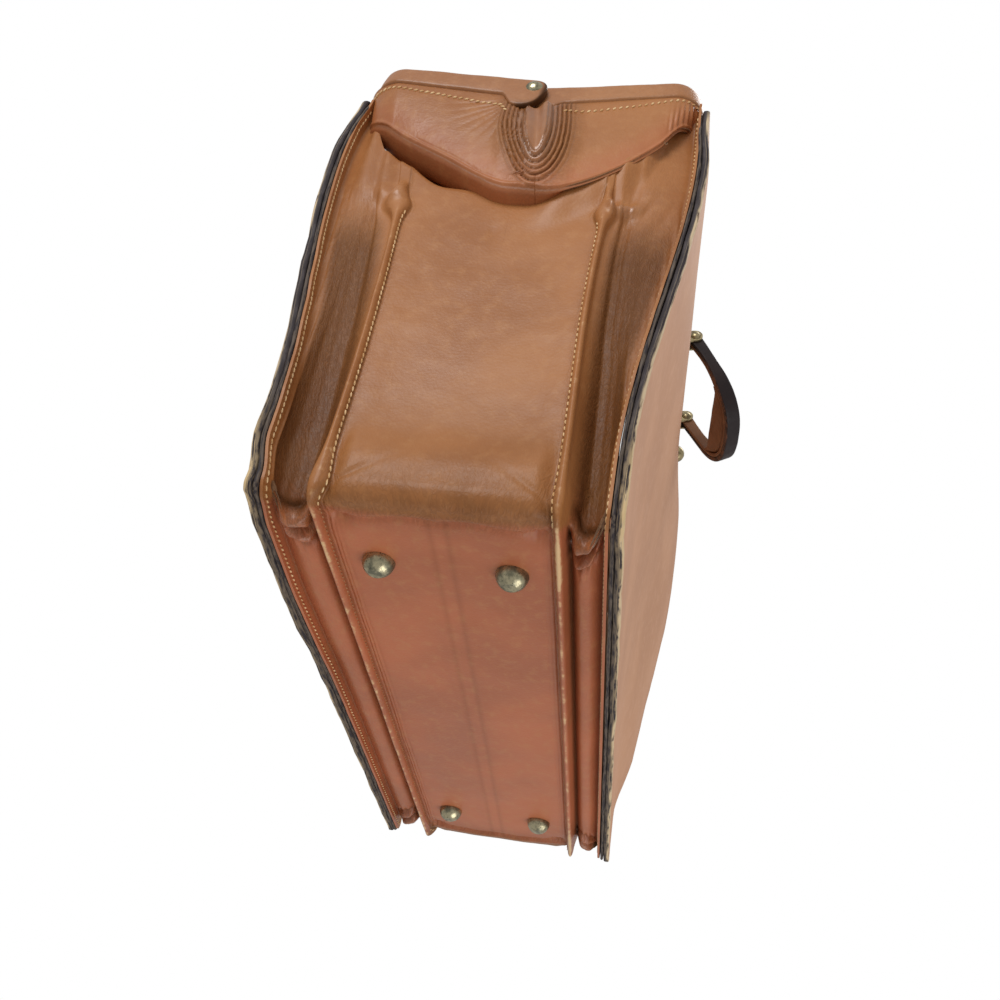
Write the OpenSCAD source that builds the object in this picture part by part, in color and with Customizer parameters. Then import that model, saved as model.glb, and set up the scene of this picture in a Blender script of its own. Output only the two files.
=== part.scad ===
// Leather frame briefcase, standing on its four feet with the mouth frame open.
// X runs along the length, -Y is the front with handle and lock, Z is up from the table.

/* [Body] */
// Length of the side panels
body_l = 400; // [370:1:430]
// Width across the side panels at the bottom
base_w = 156; // [148:1:166]
// Width across the side panels at the open mouth
mouth_w = 200; // [194:1:206]
// Height of the side panels' top edge above the table
panel_top = 296; // [280:1:310]
// Height of the side panels' bottom edge above the table
panel_z0 = 3; // [2.5:0.5:3.5]
// Thickness of the side panels' leather
panel_t = 4; // [3.5:0.5:4.5]
// Radius of the side panels' top corners
panel_corner_r = 12; // [9:1:15]
// Radius of the side panels' bottom corners
panel_foot_r = 5; // [3:1:7]
// Height at which the side panels start to flare
flare_low = 30; // [20:1:50]
// Height at which the side panels stop flaring
flare_high = 250; // [220:1:270]

/* [Seams] */
// Thickness of the seam allowance sewn inside each side panel
seam_t = 2; // [1.5:0.5:2.5]
// Width of the seam allowance
seam_w = 9; // [7:1:12]
// Distance between the seam allowance's upper end and the panel's top edge
seam_stop = 12; // [11:1:16]
// Thickness of the lining
lining_t = 1.2; // [1:0.1:1.5]
// Bare border between the lining and the panel's ends
lining_border = 14; // [12:1:20]

/* [Gussets and bottom] */
// Thickness of the gusset leather
gusset_t = 2.2; // [1.8:0.1:2.6]
// Distance of each pinched ridge from the middle
ridge_y = 51; // [48:1:54]
// Width of a pinched ridge
ridge_w = 3.2; // [2.6:0.1:3.8]
// Height of a pinched ridge above the leather beside it
ridge_h = 5; // [4:0.5:6]
// Lowest point of the ridges under the bottom
ridge_z0 = 1.8; // [1.4:0.1:2.2]
// Height at which the end ridges stop
ridge_top = 200; // [190:1:210]
// Depth of the side pleats at the bottom of an end gusset
pleat_low = 21; // [17:1:24]
// Depth of the side pleats at the top of an end gusset
pleat_high = 9; // [7:1:12]
// Depth of the side pleats under the bottom
pleat_base = 14; // [12:1:16]
// Distance of the pleats' valley from the middle
pleat_y = 61; // [59:1:63]
// Bend radius between bottom and end gussets
bend_r = 8; // [6:1:10]
// Hollow of an end gusset between its ridges
gusset_hollow = 3; // [1:0.5:5]
// Height of the top fold's lowest point
fold_z = 206; // [200:1:214]
// Rise of the top fold at the side panels
fold_rise = 79; // [70:1:84]
// Bulge of the top fold
fold_bulge = 7; // [3:0.5:9]

/* [Feet] */
// Diameter of a domed foot
foot_d = 15; // [13:0.5:17]
// Distance of the feet from the middle, along the length
foot_x = 149; // [140:1:155]
// Distance of the feet from the middle, across
foot_y = 30; // [25:1:34]
// Diameter of a foot's shank
foot_shank_d = 4; // [3:0.5:5]
// Thickness of the base board
board_t = 3; // [2:0.5:4]
// Diameter of a washer under a foot's shank
washer_d = 12; // [10:1:14]
// Thickness of a washer
washer_t = 1; // [0.8:0.1:1.4]

/* [Mouth frame] */
// Distance of the open frame's end pivots below the side panels' top edge
pivot_drop = 3; // [1:0.5:5]
// Rise of the open frame's legs above level
open_deg = 7.5; // [6.5:0.5:9]
// Height of the leather-covered frame above its pivot line
band_top = 6.5; // [6:0.5:7]
// Thickness of the covered bar
bar_t = 6; // [5:0.5:7]
// Thickness of a covered leg
leg_t = 4.6; // [4:0.2:5.2]
// Thickness of the leather over the steel
cover_t = 1.3; // [1:0.1:1.5]
// Radius of the frame's corners, seen from above
frame_corner_r = 18; // [14:1:22]
// Depth of a rear leg's cover below the pivot line, at the pivot
rear_leg_deep = 20; // [17:1:22]
// Depth of a front leg's cover below the pivot line, at the pivot
front_leg_deep = 16; // [14:1:18]
// Depth of a leg's cover where the corner starts, below the bar's depth
leg_taper = 2.5; // [1.5:0.5:3.5]
// Width of the steel strip
steel_w = 11; // [10:0.5:11.5]
// Diameter of a pivot rivet's shank
rivet_d = 5; // [4:0.5:6]
// Diameter of a pivot rivet's head
rivet_head_d = 10; // [9:0.5:12]
// Height of a pivot rivet's head
rivet_head_h = 2.4; // [2:0.1:3]

/* [Handle] */
// Place of the handle's middle along the front bar, as a share of the length
handle_at = 0.07; // [0.04:0.005:0.07]
// Distance between the handle's legs
handle_span = 83; // [78:1:86]
// Reach of the handle from its pins
handle_reach = 64; // [60:1:68]
// Thickness of the handle strap
strap_t = 6; // [5:0.5:7]
// Width of the handle strap at the grip
grip_w = 14.5; // [13:0.5:15]
// Width of the handle strap at its ends
eye_w = 11; // [10:0.5:11.5]
// Distance from the pins at which the strap reaches its full width
strap_widen = 16; // [15:1:20]
// Depth of the grip with its pad
pad_deep = 21; // [18:1:23]
// Droop of the handle from the bar's face
handle_droop = 67.5; // [50:0.5:68]
// Diameter of a handle pin
pin_d = 4; // [3:0.5:4.5]
// Distance of a handle pin from the bar's face
pin_out = 10; // [9.5:0.5:11]
// Length of a bracket's plate
bracket_l = 27; // [25:1:29]
// Height of a bracket's plate
bracket_h = 12; // [11:0.5:12.5]
// Thickness of a bracket's ears and plate
bracket_t = 1.5; // [1.2:0.1:1.8]

/* [Lock] */
// Place of the lock plate's near end along the front bar, as a share of the length
lock_at = 0.23; // [0.23:0.005:0.27]
// Length of the lock plate
lock_l = 62; // [60:1:66]
// Width of the lock plate
lock_w = 14; // [13:0.5:15]
// Thickness of the lock plate
lock_t = 1.5; // [1.2:0.1:1.8]
// Width of the lock's domed boss
boss_d = 14; // [12:0.5:15]
// Length of the boss's foot along the bar
boss_l = 20; // [18:0.5:20]
// Height of the lock's domed boss
boss_h = 10; // [8:0.5:11]
// Length of the ribbed thumb piece
thumb_l = 22; // [20:1:22]
// Travel of the thumb piece and bolt
lock_travel = 6; // [5:0.5:6]
// Diameter of the lock bolt
bolt_d = 2.6; // [2.2:0.1:2.8]
// Thickness of the catch lug on the rear bar
lug_t = 2; // [1.6:0.1:2.4]

/* [Fits] */
// Gap between pieces on different bodies that pass close
body_gap = 0.4; // [0.3:0.1:0.5]
// Gap between the bottom's edge and the side panels
hinge_gap = 1.2; // [1:0.1:1.5]
// Radial gap between a pin or rivet and its bore
bore_gap = 0.1; // [0.05:0.05:0.2]
// Gap round the lock's sliding pieces
slide_gap = 0.3; // [0.2:0.05:0.4]

/* [Hidden] */
$fn = 48;

half_l = body_l / 2;
base_in = base_w / 2 - panel_t;
mouth_in = mouth_w / 2 - panel_t;

// Inner face of a side panel at height z, an even curve between bottom and mouth.
function ease(t) = t <= 0 ? 0 : t >= 1 ? 1 : t * t * (3 - 2 * t);
function panel_in(z) =
  base_in + (mouth_in - base_in) * ease((z - flare_low) / (flare_high - flare_low));

profile_steps = 24;
profile_z = [for (i = [0 : profile_steps])
  panel_z0 + (panel_top - panel_z0) * i / profile_steps];

// Frame geometry: the bar's lower outer edge turns on the panel's inner top edge.
hinge_y = mouth_in;
hinge_z = panel_top + 0.5;
pivot_z = panel_top - pivot_drop;
leg_r = hinge_y * cos(open_deg) + (hinge_z - pivot_z) * sin(open_deg);
bar_drop = hinge_y * sin(open_deg) - (hinge_z - pivot_z) * cos(open_deg) - 0.5;
bar_in = leg_r - bar_t;
front_leg_x = half_l + body_gap;
rear_leg_x = front_leg_x + leg_t + body_gap;
tongue_r = band_top + 1;
leg_steel_t = leg_t - 2 * cover_t;
bar_steel_t = bar_t - 2 * cover_t;
steel_hi = steel_w / 2 - 0.5;

// Handle and lock places in the frame's own plane: Y out along the legs, Z up across them.
pin_y = leg_r + pin_out;
pin_z = 0;
lock_z = -1;
handle_x = handle_at * body_l;
lock_x = lock_at * body_l;
pad_d = handle_reach - pad_deep;
lock_face = leg_r + lock_t;
thumb_x = lock_x + lock_l - thumb_l - lock_travel / 2 - 2;
thumb_w = 8;
thumb_h = 4;
// The lug turns into the case when the frame shuts, so its hole meets the bolt there.
shut_gap = 1.33;
shut_deg = acos(shut_gap / norm([bar_in, band_top])) - atan2(band_top, bar_in);
lug_x = lock_x + 19;
lug_r = bar_in + bar_t / 2 - 0.9;
lug_hole_z = 13.8;
lug_reach = 17;
lug_w = 4.4;
shut_y = lug_r * cos(shut_deg) - lug_hole_z * sin(shut_deg);
shut_z = lug_r * sin(shut_deg) + lug_hole_z * cos(shut_deg);
bolt_y = shut_z * sin(shut_deg) - shut_y * cos(shut_deg);
bolt_z = shut_z * cos(shut_deg) + shut_y * sin(shut_deg);
case_wall = 0.8;
case_x0 = lock_x + 6;
case_x1 = lock_x + lock_l - 6;
case_low = 3.6;
case_y0 = bar_in + 0.3;
case_y1 = leg_r;
bolt_l = 12;
bolt_x = lug_x + lug_t / 2 + 1.2;

module rear_half() {
  translate([0, 0, pivot_z]) rotate([open_deg, 0, 0]) children();
}
module front_half() {
  mirror([0, 1, 0]) rear_half() children();
}
module both_ends() {
  children();
  mirror([1, 0, 0]) children();
}
module along_x(length) {
  rotate([90, 0, 90]) linear_extrude(height = length, center = true) children();
}
// A rounded rectangle made of true arcs, from corner a to corner b.
module round_rect(a, b, r) {
  translate([a[0] + r, a[1]]) square([b[0] - a[0] - 2 * r, b[1] - a[1]]);
  translate([a[0], a[1] + r]) square([b[0] - a[0], b[1] - a[1] - 2 * r]);
  for (x = [a[0] + r, b[0] - r], y = [a[1] + r, b[1] - r])
    translate([x, y]) circle(r = r);
}

// Side panels
module panel_sheet(inner_offset, thick) {
  along_x(body_l + 2)
    polygon(concat(
      [for (z = profile_z) [panel_in(z) - inner_offset, z]],
      [for (i = [profile_steps : -1 : 0])
        [panel_in(profile_z[i]) - inner_offset + thick, profile_z[i]]]));
}
// The panel's outline seen from the front, square to Y.
module panel_outline() {
  translate([-half_l, panel_z0 + panel_foot_r])
    square([body_l, panel_top - panel_z0 - panel_foot_r - panel_corner_r]);
  translate([-half_l + panel_foot_r, panel_z0])
    square([body_l - 2 * panel_foot_r, panel_foot_r]);
  translate([-half_l + panel_corner_r, panel_top - panel_corner_r])
    square([body_l - 2 * panel_corner_r, panel_corner_r]);
  for (s = [-1, 1]) {
    translate([s * (half_l - panel_foot_r), panel_z0 + panel_foot_r]) circle(r = panel_foot_r);
    translate([s * (half_l - panel_corner_r), panel_top - panel_corner_r])
      circle(r = panel_corner_r);
  }
}
module across_y() {
  translate([0, mouth_w, 0]) rotate([90, 0, 0]) linear_extrude(height = mouth_w) children();
}
module side_panel() {
  intersection() {
    panel_sheet(0, panel_t);
    across_y() panel_outline();
  }
}
module side_seam() {
  intersection() {
    panel_sheet(seam_t, seam_t);
    across_y() difference() {
      panel_outline();
      translate([-half_l + seam_w, panel_z0 + seam_w])
        square([body_l - 2 * seam_w, panel_top]);
      translate([-half_l - 1, panel_top - seam_stop]) square([body_l + 2, seam_stop + 1]);
    }
  }
}
module side_lining() {
  intersection() {
    panel_sheet(lining_t, lining_t);
    across_y() round_rect(
      [-half_l + lining_border, panel_z0 + lining_border + 8],
      [half_l - lining_border, panel_top - lining_border + 2], 4);
  }
}
module rear_panel() { color([0.62, 0.37, 0.22]) side_panel(); }
module rear_seam() { color([0.27, 0.22, 0.21]) side_seam(); }
module rear_lining() { color([0.72, 0.6, 0.44]) side_lining(); }
module front_panel() { color([0.66, 0.42, 0.28]) mirror([0, 1, 0]) side_panel(); }
module front_seam() { color([0.27, 0.22, 0.21]) mirror([0, 1, 0]) side_seam(); }
module front_lining() { color([0.72, 0.6, 0.44]) mirror([0, 1, 0]) side_lining(); }

// Gusset leather
// Columns run from the middle to a side panel. Each is a place across and a depth behind
// the ridges' crest, so that bottom and end gussets share one folded section.
edge_col = 13;
crest_a = 5;
crest_b = 6;
function edge_y(z) = panel_in(z) - seam_t - hinge_gap;
function col_y(j, z) =
  j <= 3 ? ridge_y * 0.24 * j :
  j == 4 ? ridge_y - ridge_w / 2 - 1.6 :
  j == crest_a ? ridge_y - ridge_w / 2 :
  j == crest_b ? ridge_y + ridge_w / 2 :
  j == 7 ? ridge_y + ridge_w / 2 + 1.2 :
  j == 8 ? (ridge_y + ridge_w / 2 + 1.2 + pleat_y) / 2 :
  j == 9 ? pleat_y :
  pleat_y + (edge_y(z) - pleat_y) * (j - 9) / (edge_col - 9);
function pleat_share(j) =
  j == 8 ? 0.62 : j == 9 ? 1 : j == 10 ? 0.74 : j == 11 ? 0.42 : j == 12 ? 0.16 : 0;
function col_depth(j, pleat, hollow) =
  j <= 3 ? ridge_h + hollow * (1 - pow(j / 3.6, 2)) :
  j == 4 ? ridge_h :
  j == crest_a || j == crest_b ? 0 :
  j == 7 ? ridge_h :
  2 + (pleat - 2) * pleat_share(j);
// The inner side of the leather passes straight behind a ridge.
function col_back(j, pleat, hollow) =
  gusset_t + (j == crest_a || j == crest_b ? ridge_h : col_depth(j, pleat, hollow));
function end_pleat(z) = pleat_low + (pleat_high - pleat_low) * ease(z / ridge_top);

// The bottom's pleats are one section carried along the length.
end_reach = 32;
cols = [for (j = [-edge_col : edge_col]) j];
function across(j, z) = sign(j) * col_y(abs(j), z);
module bottom_leather() {
  color([0.55, 0.3, 0.2]) difference() {
    along_x(body_l - 2 * end_reach)
      polygon(concat(
        [for (j = cols) [across(j, panel_z0), ridge_z0 + col_depth(abs(j), pleat_base, 0)]],
        [for (k = [edge_col : -1 : -edge_col])
          [across(k, panel_z0), ridge_z0 + col_back(abs(k), pleat_base, 0)]]));
    at_feet() cylinder(d = foot_shank_d, h = board_z + 1);
  }
}

// An end gusset rises from the bottom's end, round a bend, to the shelf under the top fold.
function fold_line(y) = fold_z + fold_rise * pow(min(abs(y), mouth_in) / mouth_in, 2);
function shelf_z(j) = fold_line(col_y(j, ridge_top)) - 9;
bend_rows = 4;
wall_rows = 12;
roll_rows = 3;
rows = [for (i = [0 : bend_rows + wall_rows + roll_rows]) i];
// A ridge sinks back into the leather where the shelf starts.
function gusset_point(i, j, back) =
  let (
    k = abs(j),
    base = ridge_z0 + (back ? col_back(k, pleat_base, 0) : col_depth(k, pleat_base, 0)),
    r = back ? bend_r - gusset_t : bend_r,
    turn = 90 * (1 - (i - 1) / (bend_rows - 1)),
    low = base + r,
    t = max(0, i - bend_rows + 1) / wall_rows,
    z = i == 0 ? base :
      i < bend_rows ? base + r * (1 - sin(turn)) :
      i < bend_rows + wall_rows ? low + (shelf_z(k) - low) * t :
      shelf_z(k) + [3.5, 5, 5.4][min(2, max(0, i - bend_rows - wall_rows))],
    pleat = end_pleat(z),
    hollow = gusset_hollow * ease(z / 60),
    sink = ease((z - shelf_z(k) + 12) / 14),
    depth = back ? col_back(k, pleat, hollow) :
      col_depth(k, pleat, hollow) + (k == crest_a || k == crest_b ? sink * ridge_h : 0),
    wall = depth - half_l,
    x = i == 0 ? end_reach - half_l :
      i < bend_rows ? wall + r * (1 - cos(turn)) :
      i < bend_rows + wall_rows ? wall :
      wall + [1.5, 6, 13][min(2, i - bend_rows - wall_rows)],
    thin = back && i >= bend_rows + wall_rows ? gusset_t : 0
  )
  [x - thin, across(j, z), z - thin];
module near_gusset_shape() {
  w = len(cols);
  n = len(rows);
  front = [for (i = rows, j = cols) gusset_point(i, j, false)];
  rear = [for (i = rows, j = cols) gusset_point(i, j, true)];
  shell(concat(front, rear), w, n);
}
// Closes two grids of w by n points into one solid.
module shell(points, w, n) {
  m = w * n;
  polyhedron(points, concat(
    [for (i = [0 : n - 2], j = [0 : w - 2]) [i * w + j, (i + 1) * w + j, i * w + j + 1]],
    [for (i = [0 : n - 2], j = [0 : w - 2])
      [i * w + j + 1, (i + 1) * w + j, (i + 1) * w + j + 1]],
    [for (i = [0 : n - 2], j = [0 : w - 2])
      [m + i * w + j, m + i * w + j + 1, m + (i + 1) * w + j]],
    [for (i = [0 : n - 2], j = [0 : w - 2])
      [m + i * w + j + 1, m + (i + 1) * w + j + 1, m + (i + 1) * w + j]],
    [for (j = [0 : w - 2]) [j, j + 1, m + j]],
    [for (j = [0 : w - 2]) [j + 1, m + j + 1, m + j]],
    [for (j = [0 : w - 2]) let (a = (n - 1) * w + j) [a, m + a, a + 1]],
    [for (j = [0 : w - 2]) let (a = (n - 1) * w + j) [a + 1, m + a, m + a + 1]],
    [for (i = [0 : n - 2]) [i * w, m + i * w, (i + 1) * w]],
    [for (i = [0 : n - 2]) [m + i * w, m + (i + 1) * w, (i + 1) * w]],
    [for (i = [0 : n - 2]) let (a = i * w + w - 1) [a, a + w, m + a]],
    [for (i = [0 : n - 2]) let (a = i * w + w - 1) [m + a, a + w, m + a + w]]));
}
module near_gusset() { color([0.6, 0.38, 0.23]) near_gusset_shape(); }
module far_gusset() { color([0.6, 0.38, 0.23]) mirror([1, 0, 0]) near_gusset_shape(); }

// Top folds: the gusset's upper leather hangs from the legs as a deep swag on each half.
fold_cols = 9;
fold_rows = 11;
fold_end = mouth_in - seam_t - 8;
fold_in = half_l - 0.6;
function fold_point(i, j, back) =
  let (
    y = body_gap / 2 + (fold_end - body_gap / 2) * j / fold_cols,
    top = pivot_z + y * tan(open_deg) - 3,
    low = fold_line(y),
    t = i / fold_rows,
    side = 1 - pow(y / fold_end, 4),
    bend = frame_corner_r - (leg_t + bar_t) / 2,
    turned = max(0, y / cos(open_deg) + 0.5 - bar_in + bend),
    inward = t > 0.3 ? 0 : (1 - t / 0.3) * (bend - sqrt(max(0, pow(bend, 2) - pow(turned, 2)))),
    belly = i <= 2 || i > 8 ? 0 : sin(180 * (i - 2) / 7.5),
    drop = i <= 8 ? i / 8 : 1,
    curl = i <= 8 ? 0 : (i - 8) / (fold_rows - 8),
    thick = gusset_t - 0.2,
    x = -fold_in + inward - fold_bulge * belly * side + 10 * curl * (0.4 + 0.6 * side),
    z = top + (low - top) * drop + 5 * curl * curl - (i == 8 ? 0.5 : 0)
  )
  back ? [x + thick * (i <= 8 ? 1 : 0.3), y, z + thick * (i < 8 ? 0 : i == 8 ? 0.8 : 1)]
       : [x, y, z];
module rear_fold_near() {
  cs = [for (j = [0 : fold_cols]) j];
  rs = [for (i = [fold_rows : -1 : 0]) i];
  front = [for (i = rs, j = cs) fold_point(i, j, false)];
  rear = [for (i = rs, j = cs) fold_point(i, j, true)];
  shell(concat(front, rear), len(cs), len(rs));
}
module rear_folds() { color([0.64, 0.41, 0.26]) both_ends() rear_fold_near(); }
module front_folds() {
  color([0.64, 0.41, 0.26]) mirror([0, 1, 0]) both_ends() rear_fold_near();
}

// Base board and feet
leather_z = ridge_z0 + ridge_h;
board_z = leather_z + gusset_t;
board_y = ridge_y - 1;
module at_feet() {
  for (x = [-1, 1], y = [-1, 1]) translate([x * foot_x, y * foot_y, 0]) children();
}
module base_board() {
  color([0.45, 0.36, 0.27]) difference() {
    translate([0, 0, board_z]) linear_extrude(height = board_t)
      round_rect([-half_l + end_reach + 2, -board_y], [half_l - end_reach - 2, board_y], 6);
    at_feet() translate([0, 0, board_z - 1])
      cylinder(d = foot_shank_d + 2 * bore_gap, h = board_t + 2);
  }
}
module foot_studs() {
  color([0.55, 0.48, 0.33]) at_feet() {
    rotate_extrude() intersection() {
      translate([0, leather_z]) circle(d = foot_d);
      square([foot_d, leather_z]);
    }
    cylinder(d = foot_shank_d, h = board_z + board_t + washer_t);
    translate([0, 0, board_z + board_t + washer_t])
      cylinder(d1 = foot_shank_d + 2, d2 = foot_shank_d, h = 0.8);
  }
}
module foot_washers() {
  color([0.6, 0.55, 0.45]) at_feet() translate([0, 0, board_z + board_t]) difference() {
    cylinder(d = washer_d, h = washer_t);
    translate([0, 0, -1]) cylinder(d = foot_shank_d + 2 * bore_gap, h = washer_t + 2);
  }
}

// Mouth frame: a steel strip bent to a U, with leather folded round it
// A plate with two rounded outer corners, open at its lower end.
module corner_plate(x, y, r, low) {
  translate([-x, low]) square([2 * x, y - r - low]);
  translate([-x + r, low]) square([2 * (x - r), y - low]);
  for (s = [-1, 1]) translate([s * (x - r), y - r]) circle(r = r);
}
// The U seen from above, its faces set in by the given amount.
module u_plan(leg_x, inset) {
  inner_r = frame_corner_r - (leg_t + bar_t) / 2 + inset;
  difference() {
    corner_plate(leg_x + leg_t - inset, leg_r - inset, frame_corner_r - inset, -30);
    corner_plate(leg_x + inset, bar_in + inset, inner_r, -31);
  }
}
module frame_strip(leg_x) {
  intersection() {
    translate([0, 0, -steel_w / 2]) linear_extrude(height = steel_w) u_plan(leg_x, cover_t);
    along_x(2 * (leg_x + leg_t)) {
      circle(d = steel_w);
      translate([0, -steel_w / 2]) square([leg_r, steel_w]);
    }
  }
}
module frame_steel(leg_x) {
  difference() {
    frame_strip(leg_x);
    pivot_bores(leg_x, 0);
  }
}
module pivot_bores(leg_x, extra) {
  both_ends() translate([leg_x - 1 - extra, 0, 0]) rotate([0, 90, 0])
    cylinder(d = rivet_d + 2 * bore_gap, h = leg_t + 2 + 2 * extra);
}
// The cover seen along the bar: deepest at the rounded tongue, then tapering to the bar.
bar_edge_r = 2;
module cover_outline(deep) {
  circle(r = tongue_r);
  polygon([[-tongue_r, 0], [-tongue_r + 2, -deep * 0.72], [tongue_r * 0.35, -deep],
    [tongue_r * 1.5, -deep * 0.97], [leg_r - frame_corner_r, -bar_drop - leg_taper],
    [leg_r - bar_edge_r, -bar_drop], [leg_r - bar_edge_r, band_top],
    [leg_r - frame_corner_r, band_top], [0, tongue_r]]);
  round_rect([bar_in - frame_corner_r, -bar_drop], [leg_r, band_top], bar_edge_r);
}
module frame_cover(leg_x, deep) {
  difference() {
    intersection() {
      translate([0, 0, -2 * deep]) linear_extrude(height = 4 * deep) u_plan(leg_x, 0);
      along_x(2 * (leg_x + leg_t) + 2) cover_outline(deep);
    }
    frame_strip(leg_x);
    pivot_bores(leg_x, 1);
  }
}
module lock_notch(extra) {
  translate([case_x0 - extra, bar_in - 2, -case_low - extra])
    cube([case_x1 - case_x0 + 2 * extra, bar_t + 4, case_low + band_top + 2 * extra + 2]);
}
module rear_frame_steel() { color([0.5, 0.5, 0.52]) rear_half() frame_steel(rear_leg_x); }
module rear_frame_cover() {
  color([0.58, 0.34, 0.21]) rear_half() difference() {
    frame_cover(rear_leg_x, rear_leg_deep);
    at_lug_rivets() bar_hole(lug_rivet_d);
  }
}
module front_frame_steel() {
  color([0.5, 0.5, 0.52]) front_half() difference() {
    frame_steel(front_leg_x);
    lock_notch(0.1);
    at_bracket_rivets() bar_hole(bracket_rivet_d);
    at_lock_rivets() bar_hole(lock_rivet_d);
  }
}
module front_frame_cover() {
  color([0.56, 0.32, 0.2]) front_half() difference() {
    frame_cover(front_leg_x, front_leg_deep);
    lock_notch(0.05);
    at_bracket_rivets() bar_hole(bracket_rivet_d);
    at_lock_rivets() bar_hole(lock_rivet_d);
  }
}
// Pivot rivets stay with the rear legs; their burrs close the same pivots on the front legs.
module pivot_rivets() {
  color([0.55, 0.45, 0.3]) rear_half() both_ends() translate([rear_leg_x, 0, 0])
    rotate([0, 90, 0]) {
      cylinder(d = rivet_d, h = leg_t);
      translate([0, 0, leg_t]) dome(rivet_head_d, rivet_head_h);
    }
}
module pivot_burrs() {
  color([0.55, 0.45, 0.3]) front_half() both_ends() translate([front_leg_x, 0, 0])
    rotate([0, 90, 0]) {
      cylinder(d = rivet_d, h = leg_t);
      translate([0, 0, -0.3]) cylinder(d = rivet_d + 3, h = 0.3);
    }
}
// A shallow dome standing on its flat side.
module dome(d, h) {
  r = (d * d / 4 + h * h) / (2 * h);
  rotate_extrude() intersection() {
    translate([0, h - r]) circle(r = r, $fn = 96);
    square([d / 2, h]);
  }
}
module bar_hole(d) {
  translate([0, bar_in - 1, 0]) rotate([-90, 0, 0])
    cylinder(d = d + 2 * bore_gap, h = bar_t + 2);
}
module bar_rivet(d, head_y) {
  translate([0, bar_in + 0.2, 0]) rotate([-90, 0, 0]) {
    cylinder(d = d, h = head_y - bar_in - 0.2);
    translate([0, 0, head_y - bar_in - 0.2]) dome(d * 1.9, d * 0.45);
  }
}

// Catch lug on the rear bar, which the bolt passes through when the frame is shut
lug_rivet_d = 2;
module at_lug_rivets() {
  for (s = [-1, 1]) translate([lug_x + s * 7, 0, 2]) children();
}
module catch_lug() {
  color([0.72, 0.58, 0.32]) rear_half() difference() {
    union() {
      translate([lug_x - lug_t / 2, lug_r - lug_w / 2, band_top])
        cube([lug_t, lug_w, lug_reach - band_top - lug_w / 2]);
      translate([lug_x - lug_t / 2, lug_r, lug_reach - lug_w / 2]) rotate([0, 90, 0])
        cylinder(d = lug_w, h = lug_t);
      translate([lug_x - 11, bar_in - 1.2, -3]) cube([22, 1.2, band_top + 4.2]);
      translate([lug_x - 11, bar_in - 1.2, band_top]) cube([22, bar_t - 1.5, 1.2]);
    }
    translate([lug_x - lug_t, lug_r, lug_hole_z]) rotate([0, 90, 0])
      cylinder(d = bolt_d + 2 * slide_gap, h = 2 * lug_t);
    at_lug_rivets() translate([0, bar_in - 2, 0]) rotate([-90, 0, 0])
      cylinder(d = lug_rivet_d + 2 * bore_gap, h = 3);
  }
}
module lug_rivets() {
  color([0.72, 0.58, 0.32]) rear_half() at_lug_rivets() {
    translate([0, bar_in - 1.2, 0]) rotate([90, 0, 0]) dome(lug_rivet_d * 1.9, 0.8);
    translate([0, bar_in - 1.2, 0]) rotate([-90, 0, 0]) cylinder(d = lug_rivet_d, h = 1.2 + cover_t);
  }
}

// Handle
bracket_rivet_d = 2.4;
bracket_rivet_x = bracket_l * 0.35;
ear_r = bracket_h / 2 - 1;
ear_gap = slide_gap;
module at_handle_ends() {
  for (s = [-1, 1]) translate([handle_x + s * handle_span / 2, 0, 0]) children();
}
module at_bracket_rivets() {
  at_handle_ends() for (s = [-1, 1]) translate([s * bracket_rivet_x, 0, pin_z]) children();
}
module bracket() {
  inner = strap_t / 2 + ear_gap;
  difference() {
    union() {
      translate([0, leg_r, pin_z]) rotate([-90, 0, 0]) linear_extrude(height = bracket_t)
        round_rect([-bracket_l / 2, -bracket_h / 2], [bracket_l / 2, bracket_h / 2], 3);
      for (s = [-1, 1]) translate([s * (inner + bracket_t / 2) - bracket_t / 2, 0, pin_z]) {
        translate([0, leg_r + bracket_t, -ear_r]) cube([bracket_t, pin_out - bracket_t, 2 * ear_r]);
        translate([0, pin_y, 0]) rotate([0, 90, 0]) cylinder(r = ear_r, h = bracket_t);
      }
    }
    translate([-10, pin_y, pin_z]) rotate([0, 90, 0]) cylinder(d = pin_d + 2 * bore_gap, h = 20);
    for (s = [-1, 1]) translate([s * bracket_rivet_x, leg_r - 1, pin_z]) rotate([-90, 0, 0])
      cylinder(d = bracket_rivet_d + 2 * bore_gap, h = bracket_t + 2);
  }
}
module handle_brackets() {
  color([0.7, 0.56, 0.32]) front_half() at_handle_ends() bracket();
}
module handle_pins() {
  reach = strap_t / 2 + ear_gap + bracket_t;
  color([0.75, 0.62, 0.38]) front_half() at_handle_ends()
    translate([0, pin_y, pin_z]) rotate([0, 90, 0]) {
      translate([0, 0, -reach - 0.1]) cylinder(d = pin_d, h = 2 * reach + 0.2);
      translate([0, 0, reach + 0.1]) dome(pin_d + 3, 1.8);
      translate([0, 0, -reach - 0.1]) mirror([0, 0, 1]) dome(pin_d + 3, 1.8);
    }
}
module bracket_rivets() {
  color([0.72, 0.58, 0.34]) front_half() at_bracket_rivets()
    bar_rivet(bracket_rivet_d, leg_r + bracket_t);
}
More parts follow.
